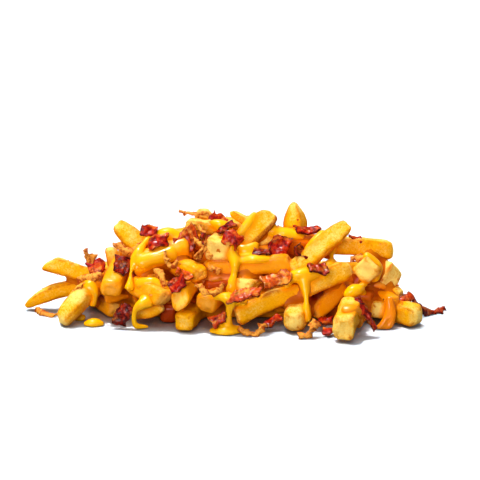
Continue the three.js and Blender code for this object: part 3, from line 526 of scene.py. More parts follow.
# Half the floor's side in metres, and how far it lies under the heap in millimetres.
FLOOR_HALF = 4.0
FLOOR_DROP = 0.05

# Where the lights look, in metres.
LIGHT_TARGET = (0, 0, 0.02)


def linear(*parts):
    """A colour with its three parts from 0 to 255, as linear light with a full alpha."""
    shares = [part / 255 for part in parts]
    return (*[s / 12.92 if s <= 0.04045 else ((s + 0.055) / 1.055) ** 2.4 for s in shares], 1.0)


def length_setting(name, description, default):
    """A property for a length, given in millimetres."""
    return bpy.props.FloatProperty(
        name=name, description=description, default=default * MM, min=0, unit="LENGTH", precision=5,
    )


def colour_setting(name, description, default):
    """A property for a colour."""
    return bpy.props.FloatVectorProperty(
        name=name, description=description, default=default, size=4, min=0, max=1, subtype="COLOR",
    )


class FriesSizes(bpy.types.PropertyGroup):
    """The sizes of the heap's surfaces that a user may change."""

    fry_cell: length_setting("Fry mesh", "Distance between the points of a fry that shows", 1.05)
    far_cell: length_setting("Far fry mesh", "Distance between the points of a fry of the far side", 1.5)
    sauce_cell: length_setting("Sauce mesh", "Distance between the points of the sauce", 0.6)
    film: length_setting("Sauce film", "Thickness of the sauce where it only coats a fry", 0.75)
    bacon_thick: length_setting("Bacon thickness", "Thickness of a bacon bit at its middle", 2.0)
    shred_thick: length_setting("Shred thickness", "Thickness of an onion shred at its middle", 1.1)
    crumb: length_setting("Crumb", "Size of a middling crumb", 0.55)


class FriesColours(bpy.types.PropertyGroup):
    """The colours of the food and of the floor."""

    pale: colour_setting("Pale potato", "A fry's lightest colour", linear(255, 214, 108))
    gold: colour_setting("Golden potato", "A well fried face", linear(255, 176, 0))
    brown: colour_setting("Browned potato", "Crisp edges and specks", linear(208, 100, 4))
    crust: colour_setting("Crust", "The hard brown edge of a thin fry", linear(140, 58, 4))
    stain: colour_setting("Sauced potato", "A fry under a film of sauce", linear(252, 150, 0))
    # Painted shade: the sauced potato colour for downward faces and for hollows.
    stain_deep: colour_setting("Deep stain", "A sauced face in the shade of others", linear(226, 92, 0))
    sauce: colour_setting("Cheese sauce", "Thick melted cheese", linear(255, 186, 0))
    sauce_deep: colour_setting("Deep sauce", "Sauce in a hollow", linear(252, 148, 0))
    # Painted shade: the dark of the inside and of the darkest hollows.
    core: colour_setting("Core", "Sauced dark of the heap's inside", linear(140, 28, 0))
    bacon: colour_setting("Bacon", "Lean crisp bacon", linear(178, 14, 1))
    bacon_dark: colour_setting("Dark bacon", "Crisped edges of the bacon", linear(70, 8, 2))
    fat: colour_setting("Bacon fat", "Pale streaks of the bacon", linear(236, 100, 18))
    onion: colour_setting("Fried onion", "Golden fried onion", linear(248, 168, 62))
    onion_brown: colour_setting("Browned onion", "Crisp edges of the onion", linear(168, 66, 8))
    floor: colour_setting("Floor", "The plain floor", linear(228, 239, 250))


def value_noise(points, seed):
    """Smooth noise from -1 to 1 at an array of places, one cell of it to a unit."""
    cells = np.floor(points).astype(np.int64)
    part = points - cells
    part = part * part * (3 - 2 * part)
    total = np.zeros(len(points))
    for corner in itertools.product((0, 1), repeat=3):
        mixed = (cells + corner) @ np.array([73856093, 19349663, 83492791]) + seed * 2654435761
        mixed = ((mixed ^ (mixed >> 13)) * 1274126177) & 0xFFFFFFFF
        value = ((mixed ^ (mixed >> 16)) & 0xFFFF) / 32767.5 - 1
        total += value * np.where(corner, part, 1 - part).prod(axis=1)
    return total


def fractal(points, size, octaves, seed):
    """Noise from about -1 to 1 whose largest waves are of one size, with finer ones on them."""
    total = np.zeros(len(points))
    for octave in range(octaves):
        total += value_noise(points * 2 ** octave / size + 7.3 * octave, seed + octave) / 2 ** octave
    return total


def rough(points, kind):
    """One kind of roughness at an array of places, from about -1 to 1."""
    return fractal(points, *ROUGHNESS[kind])


def smooth_step(low, high, values):
    """A soft rise from 0 to 1 as the values go from low to high."""
    share = np.clip((values - low) / (high - low), 0, 1)
    return share * share * (3 - 2 * share)


def smooth_least(a, b, melt):
    """The lesser of two fields, melted together where they are near each other."""
    near = np.maximum(melt - np.abs(a - b), 0) / melt
    return np.minimum(a, b) - near * near * melt / 4


def smooth_most(a, b, melt):
    """The greater of two fields, melted together where they are near each other."""
    return -smooth_least(-a, -b, melt)


def moved(points):
    """Points from the tables in the part's frame, still in millimetres."""
    return np.asarray([point[:3] for point in points], float) - BOX_MIDDLE


def read_vectors(found, key):
    """The vectors of a mesh's points or normals as an array."""
    values = np.zeros(len(found) * 3, np.float32)
    found.foreach_get(key, values)
    return values.reshape(-1, 3)


def mesh_points(mesh):
    """A mesh's points as an array in millimetres."""
    return read_vectors(mesh.vertices, "co").astype(float) / MM


def made_mesh(shape, name):
    """The mesh of a bmesh, which is given up."""
    mesh = bpy.data.meshes.new(name)
    shape.to_mesh(mesh)
    shape.free()
    return mesh


def put(name, data):
    """A new object in the scene, at the origin, with a mesh, a light or a camera."""
    made = bpy.data.objects.new(name, data)
    bpy.context.scene.collection.objects.link(made)
    return made


def across_frame(direction, roll):
    """A sideways and an upward direction across a line of travel, rolled about it in degrees."""
    up = (0, 1, 0) if abs(direction[2]) > STEEP else (0, 0, 1)
    side = np.cross(direction, up)
    side = side / np.linalg.norm(side)
    top = np.cross(side, direction)
    turn = math.radians(roll)
    cos, sin = math.cos(turn), math.sin(turn)
    return side * cos - top * sin, top * cos + side * sin


def smooth_path(points, steps):
    """Places and directions along a smooth line through points, with other columns carried along."""
    points = np.asarray(points, float)
    points = np.vstack([2 * points[0] - points[1], points, 2 * points[-1] - points[-2]])
    spans = len(points) - 3
    at = np.linspace(0, spans, steps + 1)
    first = np.minimum(at.astype(int), spans - 1)
    t = (at - first)[:, None]
    a, b, c, d = (points[first + k] for k in range(4))
    places = 2 * b + (c - a) * t + (2 * a - 5 * b + 4 * c - d) * t ** 2 + (3 * b - a - 3 * c + d) * t ** 3
    places = 0.5 * places
    ahead = 0.5 * ((c - a) + 2 * (2 * a - 5 * b + 4 * c - d) * t + 3 * (3 * b - a - 3 * c + d) * t ** 2)
    ahead = ahead[:, :3] / np.linalg.norm(ahead[:, :3], axis=1, keepdims=True)
    return places, ahead


def grid_block(levels):
    """A mesh of a cube from -1 to 1 whose sides are cut into grids, with its points as an array.

    Its faces are turned inward, because a frame across a line of travel is a left-handed one.
    """
    block = bmesh.new()
    bmesh.ops.create_cube(block, size=2)
    for axis, count in enumerate(levels):
        edges = [e for e in block.edges if abs(e.verts[0].co[axis] - e.verts[1].co[axis]) > 1]
        if count > 1:
            bmesh.ops.subdivide_edges(block, edges=edges, cuts=count - 1, use_grid_fill=True)
    bmesh.ops.reverse_faces(block, faces=block.faces[:])
    mesh = made_mesh(block, "block")
    return mesh, read_vectors(mesh.vertices, "co").astype(float)


def set_points(mesh, points):
    """Puts a mesh's points where an array in millimetres says."""
    mesh.vertices.foreach_set("co", (points * MM).astype(np.float32).ravel())
    mesh.update()


def roughen(mesh, points, amount):
    """Moves points along their mesh's normals by an amount for each, and returns where they are."""
    set_points(mesh, points)
    points = points + read_vectors(mesh.vertex_normals, "vector") * amount[:, None]
    set_points(mesh, points)
    return points


class Pile:
    """Meshes that become one piece, with the values that their points carry for the materials."""

    def __init__(self):
        self.whole = bmesh.new()
        self.values = {}

    def add(self, mesh, **values):
        """Adds one closed mesh, turned inside out where its faces look inward."""
        count = len(mesh.vertices)
        shell = bmesh.new()
        shell.from_mesh(mesh)
        if shell.calc_volume(signed=True) < 0:
            bmesh.ops.reverse_faces(shell, faces=shell.faces)
        shell.to_mesh(mesh)
        shell.free()
        self.whole.from_mesh(mesh)
        bpy.data.meshes.remove(mesh)
        for name, value in values.items():
            self.values.setdefault(name, []).append(np.broadcast_to(value, (count, *np.shape(value)[1:])))

    def piece(self, name, material, replaced=()):
        """The finished object, shaded smooth and riding on the heap's body."""
        mesh = made_mesh(self.whole, name)
        mesh.shade_smooth()
        for key, parts in self.values.items():
            add_values(mesh, key, np.concatenate(parts))
        mesh.materials.append(material)
        made = put(name, mesh)
        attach(made, "root")
        if replaced:
            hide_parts(*replaced)
        return made


def lay_piece(mesh, name, material, slot, replaced, **values):
    """A piece of one mesh, in the place of one node."""
    pile = Pile()
    pile.add(mesh, **values)
    pile.piece(name, material, [replaced])


def add_values(mesh, name, values):
    """Writes one value or one vector for each point of a mesh."""
    kind, field = ("FLOAT_VECTOR", "vector") if values.ndim == 2 else ("FLOAT", "value")
    made = mesh.attributes.new(name, kind, "POINT")
    made.data.foreach_set(field, values.astype(np.float32).ravel())


class Fry:
    """The line and the section of one fry, from which its mesh and its distances are both made."""

    def __init__(self, told, seed):
        draw = random.Random(seed)
        self.told = told
        self.seed = seed
        self.start, self.end = moved([told["start"], told["end"]])
        self.length = float(np.linalg.norm(self.end - self.start))
        self.direction = (self.end - self.start) / self.length
        self.side, self.top = across_frame(self.direction, told["roll"])
        self.wide, self.high = told["size"]
        self.corner = told["corner"] * min(told["size"])
        self.slant = math.tan(math.radians(told["slant"]))
        self.sway = draw.uniform(-SWAY_RANGE, SWAY_RANGE) * self.length
        self.rise = told["rise"] + draw.uniform(-RISE_RANGE, RISE_RANGE) * self.length
        self.taper = draw.uniform(-TAPER_RANGE, TAPER_RANGE)
        self.bulge = draw.uniform(0, 2 * math.pi)
        self.twist = math.radians(draw.uniform(-TWIST_RANGE, TWIST_RANGE))
        self.tilts = [draw.uniform(-END_TILT, END_TILT) for _ in range(4)]

    def scale(self, t):
        """How much of the full section there is at shares of the length."""
        bulge = BULGE * np.sin(self.length / BULGE_LENGTH * t + self.bulge)
        full = FULLNESS + self.taper * (t - 0.5) + bulge
        if self.told["taper"] is not None:
            for share, (reach, tip) in zip((t, 1 - t), (self.told["taper"], self.told["far"])):
                swell = np.sin(np.pi / 2 * np.clip(share / reach, 0, 1) ** TIP_POWER)
                full = full * (tip + (1 - tip) * swell)
        return full

    def turned(self, across, upward, t, way=1):
        """Places across the fry, turned by its twist at shares of the length."""
        turn = way * self.twist * (t - TWIST_STILL)
        cos, sin = np.cos(turn), np.sin(turn)
        return across * cos - upward * sin, upward * cos + across * sin

    def distance(self, x, y, z):
        """Distances from the fry's surface on a grid, below zero inside."""
        along, across, upward = (
            axis[0] * (x - self.start[0]) + axis[1] * (y - self.start[1]) + axis[2] * (z - self.start[2])
            for axis in (self.direction, self.side, self.top))
        t = np.clip(along / self.length, 0, 1)
        bow = 4 * t * (1 - t)
        across, upward = self.turned(across - self.sway * bow, upward - self.rise * bow, t, -1)
        along = along - self.slant * upward * np.maximum(0, 1 - t / SLANT_SHARE)
        scale = self.scale(t)
        past = [
            np.abs(along - self.length / 2) - self.length / 2 + self.corner,
            np.abs(across) - self.wide / 2 * scale + self.corner,
            np.abs(upward) - self.high / 2 * scale + self.corner,
        ]
        outside = np.sqrt(sum(np.maximum(p, 0) ** 2 for p in past))
        inside = np.minimum(np.maximum(np.maximum(past[0], past[1]), past[2]), 0)
        return (outside + inside - self.corner).astype(np.float32)

    def reach(self, spare):
        """The corners of a box round the fry."""
        half = 0.75 * max(self.wide, self.high) + abs(self.rise) + spare
        return np.minimum(self.start, self.end) - half, np.maximum(self.start, self.end) + half

    def mesh(self, cell):
        """The fry's skin, its points' places, and the values that they carry."""
        stations, levels = self.stations(cell)
        mesh, unit = grid_block(levels)
        along = stations[np.rint((unit[:, 0] + 1) / 2 * levels[0]).astype(int)]
        most = np.abs(unit[:, 1:]).max(axis=1)
        least = np.abs(unit[:, 1:]).min(axis=1)
        edge = np.divide(least, most, out=np.zeros_like(most), where=most > 0)
        to_end = np.minimum(along, self.length - along)
        t = along / self.length
        section = self.section(unit, most, edge, to_end) * self.scale(t)[:, None]
        points = self.bent(along, t, section, to_end)
        own = np.column_stack([along, section]) + 40.0 * self.seed
        nibble = np.maximum(0, rough(own, "fry nibble")) * smooth_step(0.6, 1.0, edge)
        blister = np.maximum(0, rough(own, "fry blister")) ** 1.5
        lumps = FRY_LUMP * smooth_step(2.5, 0, to_end) * rough(own, "fry end")
        amount = FRY_WAVE * rough(own, "fry wave") + FRY_BLISTER * blister - FRY_NIBBLE * nibble + lumps
        points = roughen(mesh, points, amount)
        rim = smooth_step(0.6, 1.2, to_end) * smooth_step(2.0, 1.2, to_end)
        rim = 0.7 * rim * smooth_step(0.85, 1.0, most)
        return mesh, points, {
            "grain": own,
            "edge": np.maximum(edge * (most > 0.99), rim),
            "cut": smooth_step(1.9, 0.1, to_end) * (0.75 + 0.25 * smooth_step(1.0, 0.6, most)),
            "crust": self.told["crust"] * smooth_step(0.5, 0.7, -unit[:, 1]),
            "tone": np.full(len(own), self.told["tone"]),
        }

    def stations(self, cell):
        """The places of the rings of points along the fry, and how many parts its block has each way."""
        inner = max(4, round((self.length - 2 * END_RINGS[-1]) / cell))
        ends = np.array(END_RINGS)
        middle = np.linspace(ends[-1], self.length - ends[-1], inner + 1)
        stations = np.concatenate([ends[:-1], middle, self.length - ends[-2::-1]])
        return stations, (len(stations) - 1, round(self.wide / cell), round(self.high / cell))

    def section(self, unit, most, edge, to_end):
        """Places in a full section, with its corners rounded, its faces sunk and its ends rounded off."""
        sides, reach = unit[:, 1:], most[:, None]
        ring = np.divide(sides, reach, out=np.zeros_like(sides), where=reach > 0)
        half = np.array([self.wide, self.high]) / 2
        flat = ring * half
        inside = np.clip(flat, -(half - self.corner), half - self.corner)
        way = flat - inside
        size = np.maximum(np.linalg.norm(way, axis=1, keepdims=True), 1e-9)
        sunk = 1 - FACE_SINK * (1 - edge ** 2) / half.min()
        section = (inside + way / size * self.corner) * sunk[:, None]
        near = np.maximum(END_ROUND - to_end, 0)
        short = END_ROUND - np.sqrt(np.maximum(END_ROUND ** 2 - near ** 2, 0))
        return section * reach * (1 - short / half.min())[:, None]

    def bent(self, along, t, section, to_end):
        """Places on a straight fry, its ends slanted and tilted, twisted and bowed along its line."""
        bow = 4 * t * (1 - t)
        shift = along + self.slant * section[:, 1] * np.maximum(0, 1 - t / SLANT_SHARE)
        tilt = np.where(t < 0.5, self.tilts[0], self.tilts[1]) * section[:, 0] \
            + np.where(t < 0.5, self.tilts[2], self.tilts[3]) * section[:, 1]
        shift = shift + smooth_step(TILT_REACH, 0, to_end) * tilt
        across, upward = self.turned(section[:, 0], section[:, 1], t)
        return self.start + shift[:, None] * self.direction \
            + (across + self.sway * bow)[:, None] * self.side \
            + (upward + self.rise * bow)[:, None] * self.top


def inner_fries():
    """Fries that lie round the core and fill the hollows between those of the tables."""
    draw = random.Random(INNER_SEED)
    ribs = np.array(CORE_RIBS, float)
    made = []
    for k in range(INNER_FRIES):
        x = INNER_START + INNER_SPAN * (k + draw.random()) / INNER_FRIES
        middle, depth, height = (np.interp(x, ribs[:, 0], ribs[:, c]) for c in (1, 2, 3))
        turn = math.radians(draw.uniform(8, 172))
        low = 5 if 42 < x < 70 else 0
        centre = np.array([x, middle - math.cos(turn) * (depth - 4), math.sin(turn) * (height - 5 - low)])
        centre[2] = max(centre[2], INNER_LOWEST)
        yaw = math.radians(draw.uniform(-55, 55))
        half = 0.5 * draw.uniform(22, 34)
        aside = math.sin(yaw)
        way = np.array([math.cos(yaw), aside * abs(math.sin(turn)), aside * math.cos(turn) * 0.8])
        start, end = centre - way * half, centre + way * half
        start[2], end[2] = max(start[2], INNER_LOWEST), max(end[2], INNER_LOWEST)
        size = (draw.uniform(9.5, 11), draw.uniform(9, 10.5))
        # Each is given some painted shade, as it lies among the others.
        made.append(row(
            tuple(start), tuple(end), size, roll=draw.uniform(-30, 30),
            tone=draw.uniform(0.4, 0.8), wet=draw.uniform(0.7, 1.0), shade=draw.uniform(0.2, 0.45),
        ))
    return made


@functools.lru_cache(maxsize=None)
def all_fries():
    """Every fry of the heap, in the groups that become pieces."""
    groups = {
        "front": list(FRONT_FRIES.values()),
        "shaded": list(SHADED_FRIES.values()) + inner_fries(),
        "back": list(BACK_FRIES.values()),
    }
    seeds = itertools.count(1)
    return {name: [Fry(told, next(seeds)) for told in rows] for name, rows in groups.items()}


class Field:
    """Distances in millimetres on a grid over the heap, below zero inside."""

    def __init__(self, cell, low, high):
        self.cell = cell
        self.low = np.array(low, float)
        shape = np.ceil((np.array(high) - self.low) / cell).astype(int) + 1
        self.values = np.full(shape, FAR, np.float32)

    def axes(self):
        """The places of the grid along each axis."""
        return [self.low[k] + self.cell * np.arange(self.values.shape[k]) for k in range(3)]

    def floor(self, height):
        """Distances on this grid from a floor at a height, over zero beneath it."""
        return (height - self.axes()[2]).astype(np.float32)[None, None, :]

    def window(self, low, high):
        """The slices between two corners, and the places there along each axis."""
        first = np.clip(np.floor((low - self.low) / self.cell).astype(int), 0, None)
        last = np.minimum(np.ceil((high - self.low) / self.cell).astype(int) + 1, self.values.shape)
        axes = [self.low[k] + self.cell * np.arange(first[k], last[k]) for k in range(3)]
        slices = tuple(slice(a, b) for a, b in zip(first, last))
        return slices, np.meshgrid(*axes, indexing="ij", sparse=True)

    def at(self, points):
        """The field's values at an array of places."""
        top = np.array(self.values.shape) - 1.001
        grid = np.clip((points - self.low) / self.cell, 0, top)
        cells = grid.astype(int)
        part = grid - cells
        total = np.zeros(len(points))
        for corner in itertools.product((0, 1), repeat=3):
            value = self.values[tuple((cells + corner).T)]
            total += value * np.where(corner, part, 1 - part).prod(axis=1)
        return total

    def skin(self, values):
        """A mesh of the surface where values on this grid pass zero."""
        values = np.pad(np.clip(np.ascontiguousarray(values), -FAR, FAR), 1, constant_values=FAR)
        grid = openvdb.FloatGrid(background=FAR)
        grid.copyFromArray(values)
        points, _, quads = grid.convertToPolygons(isovalue=0.0, adaptivity=0.0)
        points = self.low + (points - 1) * self.cell
        mesh = bpy.data.meshes.new("skin")
        mesh.from_pydata((points * MM).tolist(), [], quads.tolist())
        return mesh


@functools.lru_cache(maxsize=None)
def heap_field():
    """Distances from all the fries, melted together, on the grid that the sauce uses too."""
    cell = bpy.context.scene.fries_sizes.sauce_cell / MM
    low = np.array(cad_low) / MM - FIELD_MARGIN
    high = np.array(cad_high) / MM + FIELD_MARGIN
    low[2] = FIELD_BOTTOM
    field = Field(cell, low, high)
    for fry in itertools.chain(*all_fries().values()):
        place, (x, y, z) = field.window(*fry.reach(5))
        field.values[place] = smooth_least(field.values[place], fry.distance(x, y, z), MELT)
    return field


def flow_distance(field, values, flow, spare):
    """Lays the distances from one flow's line into values, on the field's grid."""
    told = [(*moved([point])[0], point[3]) for point in flow["path"]]
    places, _ = smooth_path(told, PATH_STEPS * (len(told) - 1))
    squash = flow.get("squash", 1)
    for a, b in zip(places[:-1], places[1:]):
        reach = max(a[3], b[3]) + spare
        place, (x, y, z) = field.window(np.minimum(a, b)[:3] - reach, np.maximum(a, b)[:3] + reach)
        ab = (b - a)[:3]
        t = ((x - a[0]) * ab[0] + (y - a[1]) * ab[1] + (z - a[2]) * ab[2]) / (ab @ ab)
        t = np.clip(t, 0, 1)
        away = np.sqrt((x - a[0] - t * ab[0]) ** 2 + (y - a[1] - t * ab[1]) ** 2
                       + ((z - a[2] - t * ab[2]) / squash) ** 2)
        values[place] = np.minimum(values[place], away - (a[3] + t * (b[3] - a[3])))


def flow_shade(points):
    """How much darker the sauce is at each place, because it belongs to a flow that lies in shade."""
    found = np.zeros(len(points))
    for flow in SAUCE_FLOWS.values():
        if "shade" in flow:
            places, _ = smooth_path(moved(flow["path"]), PATH_STEPS * (len(flow["path"]) - 1))
            away = np.min([np.linalg.norm(points - place, axis=1) for place in places], axis=0)
            found = np.maximum(found, flow["shade"] * smooth_step(5, 2.5, away))
    return found


@functools.lru_cache(maxsize=None)
def sauce_field():
    """Distances from the sauce: the flows, and the film that they spread over the fries near them."""
    field = heap_field()
    film_thick = bpy.context.scene.fries_sizes.film / MM
    tubes = np.full_like(field.values, FAR)
    film = np.full_like(field.values, FAR)
    for flow in SAUCE_FLOWS.values():
        tube = np.full_like(field.values, FAR)
        flow_distance(field, tube, flow, FILM_SPREAD + FLOW_SPARE)
        film = np.minimum(film, tube - flow.get("spread", FILM_SPREAD))
        tubes = smooth_least(tubes, tube, FLOW_MELT)
    x, y, z = field.axes()
    waver = np.sin(x / 2.3)[:, None, None] + np.sin(y / 1.9 + 1)[None, :, None]
    waver = waver + np.sin(z / 2.1 + 2)[None, None, :]
    waver = waver.astype(np.float32)
    film = smooth_most(film + FILM_WAVER * waver, field.values - film_thick, FILM_MELT)
    sauce = Field(field.cell, field.low, field.low + field.cell * (np.array(field.values.shape) - 1))
    sauce.values = smooth_least(tubes + FLOW_WAVER * waver, film, FLOW_MELT)
    sauce.values = np.maximum(sauce.values, field.floor(SAUCE_LOWEST))
    return sauce


def blurred(values, reach):
    """Values averaged over a cube of cells on each side, twice, for a soft round blur."""
    for _ in range(2):
        for axis in range(3):
            margins = [(reach + 1, reach) if k == axis else (0, 0) for k in range(3)]
            padded = np.pad(values, margins, mode="edge")
            total = np.cumsum(padded, axis=axis)
            count = values.shape[axis]
            ahead = np.take(total, range(2 * reach + 1, 2 * reach + 1 + count), axis=axis)
            behind = np.take(total, range(count), axis=axis)
            values = (ahead - behind) / (2 * reach + 1)
    return values


def rib_distance(x, y, z):
    """Distances from the core's ribs on a grid, below zero inside."""
    ribs = np.array(CORE_RIBS, float)
    middle, depth, height = (np.interp(x + BOX_MIDDLE[0], ribs[:, 0], ribs[:, c]) for c in (1, 2, 3))
    round_share = np.sqrt(((y - middle - BOX_MIDDLE[1]) / depth) ** 2 + (z / height) ** 2)
    inside_ends = np.maximum(ribs[0, 0] - x, x - ribs[-1, 0])
    return np.maximum((round_share - 1) * np.minimum(depth, height), inside_ends)


@functools.lru_cache(maxsize=None)
def filled_share(reach):
    """The share of the space round each place that the fries fill, on the coarse grid."""
    field = heap_field()
    solid = (field.values[::COARSE, ::COARSE, ::COARSE] < 0).astype(np.float32)
    found = Field(field.cell * COARSE, field.low, field.low)
    found.values = blurred(solid, reach)
    return found


def hollow(points):
    """How far into a hollow of the heap each place lies, from 0 to 1, as the painted shade uses it."""
    return smooth_step(*HOLLOW, filled_share(HOLLOW_REACH).at(points))


def core_skin():
    """The mesh of the inside, coloured dark as painted shade, which fills what is left between the fries.
    """
    coarse = filled_share(CORE_BLUR)
    filled = CORE_FILL - coarse.values
    x, y, z = np.meshgrid(*coarse.axes(), indexing="ij", sparse=True)
    ribs = (rib_distance(x, y, z) + RIB_DEPTH) / SHARE_LENGTH
    core = np.maximum(np.minimum(filled, ribs), (CORE_LOWEST - z) / SHARE_LENGTH)
    return coarse.skin(core.astype(np.float32))


def without_scraps(mesh, fewest):
    """Takes away the separate bodies of a mesh that have few points, and softens what is left."""
    whole = bmesh.new()
    whole.from_mesh(mesh)
    seen = set()
    for start in whole.verts:
        if start in seen:
            continue
        seen.add(start)
        body, waiting = [start], [start]
        while waiting:
            for edge in waiting.pop().link_edges:
                for point in edge.verts:
                    if point not in seen:
                        seen.add(point)
                        body.append(point)
                        waiting.append(point)
        if len(body) < fewest:
            for point in body:
                point.tag = True
    bmesh.ops.delete(whole, geom=[v for v in whole.verts if v.tag], context="VERTS")
    for _ in range(2):
        bmesh.ops.smooth_vert(
            whole, verts=whole.verts, factor=0.5, use_axis_x=True, use_axis_y=True, use_axis_z=True)
    whole.to_mesh(mesh)
    whole.free()
    return mesh


def bacon_mesh(told, thick):
    """One bacon bit: a thin wavy slab with ragged edges, and the values that its points carry."""
    start, end = moved([told["start"], told["end"]])
    length = float(np.linalg.norm(end - start))
    direction = (end - start) / length
    side, top = across_frame(direction, told["roll"])
    phase = told["start"][0] + told["start"][2]
    counts = max(12, round(length / BIT_CELL)), max(10, round(told["wide"] / BIT_CELL)), 2
    mesh, unit = grid_block(counts)
    along, across, face = unit.T
    s = (along + 1) / 2
    own = np.column_stack([s * length, across * told["wide"] / 2, 0.3 * face]) + 3.7 * phase
    flat = own * (1, 1, 0)
    # its outline: wavy, ragged, with its corners cut a little, and narrower at a point
    waver = 0.1 * np.sin(9.3 * s + phase) - 0.14 * across * np.sin(5.1 * s + phase)
    narrow = 1 - 0.6 * s if told["pointed"] else 1
    ragged = rough(flat, "bit edge")
    corner = 1 - 0.08 * along ** 4 * across ** 4
    half = corner * told["wide"] / 2 * (1 + waver) * narrow + BIT_RAGGED * np.abs(across) ** 3 * ragged
    nibble = 0.05 * np.sin(2.3 * across + phase) * length + 0.6 * along ** 3 * np.abs(along) * ragged
    nibble = nibble - (1 - corner) * along * length / 2
    # its relief: curled, waved and crumpled, and thinner towards its rim
    wave = told["curl"] * (along ** 2 - 0.4) + 0.4 * np.sin(4 * s + 2 * across + phase)
    crumple = BIT_CRUMPLE * rough(flat, "bit crumple") + 0.2 * np.sin(1.3 * s * length + across + phase)
    rim = np.maximum(np.abs(along) ** 8, np.abs(across) ** 7)
    body = thick / 2 * (BIT_RIM + (1 - BIT_RIM) * (1 - rim)) * (1 + 0.25 * rough(flat, "bit body"))
    points = start + (s * length + nibble)[:, None] * direction + (across * half)[:, None] * side \
        + (wave + crumple + face * body)[:, None] * top
    points[:, 2] = np.maximum(points[:, 2], LOWEST)
    roughen(mesh, points, 0.1 * rough(own, "bit grain"))
    streak = np.sin(2.6 * across + 1.2 * rough(flat, "bit streak") + phase)
    fat = np.clip(told["fat"] * 1.3 - 0.3 + 0.6 * smooth_step(0.1, 0.9, streak), 0, 1)
    dark = np.clip(told["dark"] * 0.7 + 0.45 * smooth_step(0.4, 1.0, rim), 0, 1)
    return mesh, {"grain": own, "fat": fat, "dark": dark}


def strip_mesh(told, thick, ragged_by):
    """A shred: a ragged strip along a line of points, curled across and twisted along its length."""
    places, ahead = smooth_path(moved(told["path"]), STRIP_STEPS * (len(told["path"]) - 1))
    count = len(places) - 1
    mesh, unit = grid_block((count, 8, 2))
    level = np.rint((unit[:, 0] + 1) / 2 * count).astype(int)
    t = level / count
    across, face = unit[:, 1], unit[:, 2]
    phase = places[0][0] + places[0][2]
    shares = np.linspace(0, 1, count + 1)
    rolls = told["roll"] + 14 * np.sin(5 * shares) + 10 * np.sin(11 * shares + phase)
    frames = [across_frame(way, roll) for way, roll in zip(ahead, rolls)]
    side, top = (np.array(ways)[level] for ways in zip(*frames))
    length = float(np.linalg.norm(np.diff(places, axis=0), axis=1).sum())
    own = np.column_stack([t * length, across * told["wide"] / 2, 0.3 * face]) + 5.3 * phase
    flat = own * (1, 1, 0)
    lengthwise = own * (1, 0, 0)
    half = told["wide"] / 2 * (0.5 + 0.5 * np.sin(np.pi * np.clip(t, 0.04, 0.96)) ** 0.6)
    half = half * (1 + 0.34 * rough(lengthwise, "strip width"))
    half = half + ragged_by * np.abs(across) ** 3 * rough(flat, "strip edge")
    body = thick / 2 * (0.55 + 0.45 * (1 - np.abs(across) ** 4)) * (1 + 0.3 * rough(flat, "strip body"))
    lift = -STRIP_CURL * half * across ** 2 + 0.3 * rough(lengthwise, "strip lift") + face * body
    points = places[level] + (across * half)[:, None] * side + lift[:, None] * top
    points[:, 2] = np.maximum(points[:, 2], LOWEST)
    roughen(mesh, points, 0.2 * rough(own, "strip grain"))
    rim = np.maximum(np.abs(across) ** 4, np.abs(2 * t - 1) ** 8)
    return mesh, own, rim


def crumb_places(count, draw, above):
    """Places on the heap's skin for crumbs to lie on, a share of them from above, the others in front."""
    field = heap_field()
    inside = field.values < 0
    found = []
    while len(found) < count:
        if draw.random() < above:
            i, j = draw.randrange(inside.shape[0]), draw.randrange(inside.shape[1])
            column = np.flatnonzero(inside[i, j])
            if len(column):
                found.append(field.low + field.cell * np.array([i, j, column[-1]]))
        else:
            i, k = draw.randrange(inside.shape[0]), draw.randrange(2, inside.shape[2])
            column = np.flatnonzero(inside[i, :, k])
            if len(column):
                found.append(field.low + field.cell * np.array([i, column[0], k]))
    return found


def fill_sockets(tree, node, sockets):
    """Gives a node's sockets their values or links."""
    for key, value in sockets.items():
        if isinstance(value, bpy.types.NodeSocket):
            tree.links.new(value, node.inputs[key])
        else:
            node.inputs[key].default_value = value


def add_node(tree, kind, sockets=None, **settings):
    """A new node with its settings, and with a value or a link for each socket that is told."""
    made = tree.nodes.new(kind)
    for name, value in settings.items():
        setattr(made, name, value)
    fill_sockets(tree, made, sockets or {})
    return made


def attribute(tree, name, output="Fac"):
    """The values that a mesh's points carry under a name."""
    return add_node(tree, "ShaderNodeAttribute", attribute_name=name).outputs[output]


def noise(tree, vector, scale, detail=2.0, rough=0.5):
    """Soft noise from about 0 to 1, with a scale in waves to a millimetre."""
    sockets = {"Vector": vector, "Scale": scale, "Detail": detail, "Roughness": rough}
    return add_node(tree, "ShaderNodeTexNoise", sockets).outputs[0]


def math_node(tree, operation, a, b=0.0, clamp=False):
    """The outcome of one operation on two values."""
    return add_node(tree, "ShaderNodeMath", {0: a, 1: b}, operation=operation, use_clamp=clamp).outputs[0]


def times(tree, a, b):
    """The product of two values."""
    return math_node(tree, "MULTIPLY", a, b)


def plus(tree, a, b, clamp=False):
    """The sum of two values."""
    return math_node(tree, "ADD", a, b, clamp)


def minus(tree, a, b):
    """The first value less the second."""
    return math_node(tree, "SUBTRACT", a, b)


def remap(tree, value, low, high, to_low=0.0, to_high=1.0):
    """A value moved from one range into another, and kept within it."""
    sockets = {"Value": value, "From Min": low, "From Max": high, "To Min": to_low, "To Max": to_high}
    return add_node(tree, "ShaderNodeMapRange", sockets, clamp=True).outputs[0]


def tint(name):
    """One of the colours of the settings, as a socket takes it."""
    return tuple(getattr(bpy.context.scene.fries_colours, name))


def mix(tree, share, a, b):
    """Two colours mixed by a share."""
    return add_node(tree, "ShaderNodeMix", {0: share, 6: a, 7: b}, data_type="RGBA").outputs[2]


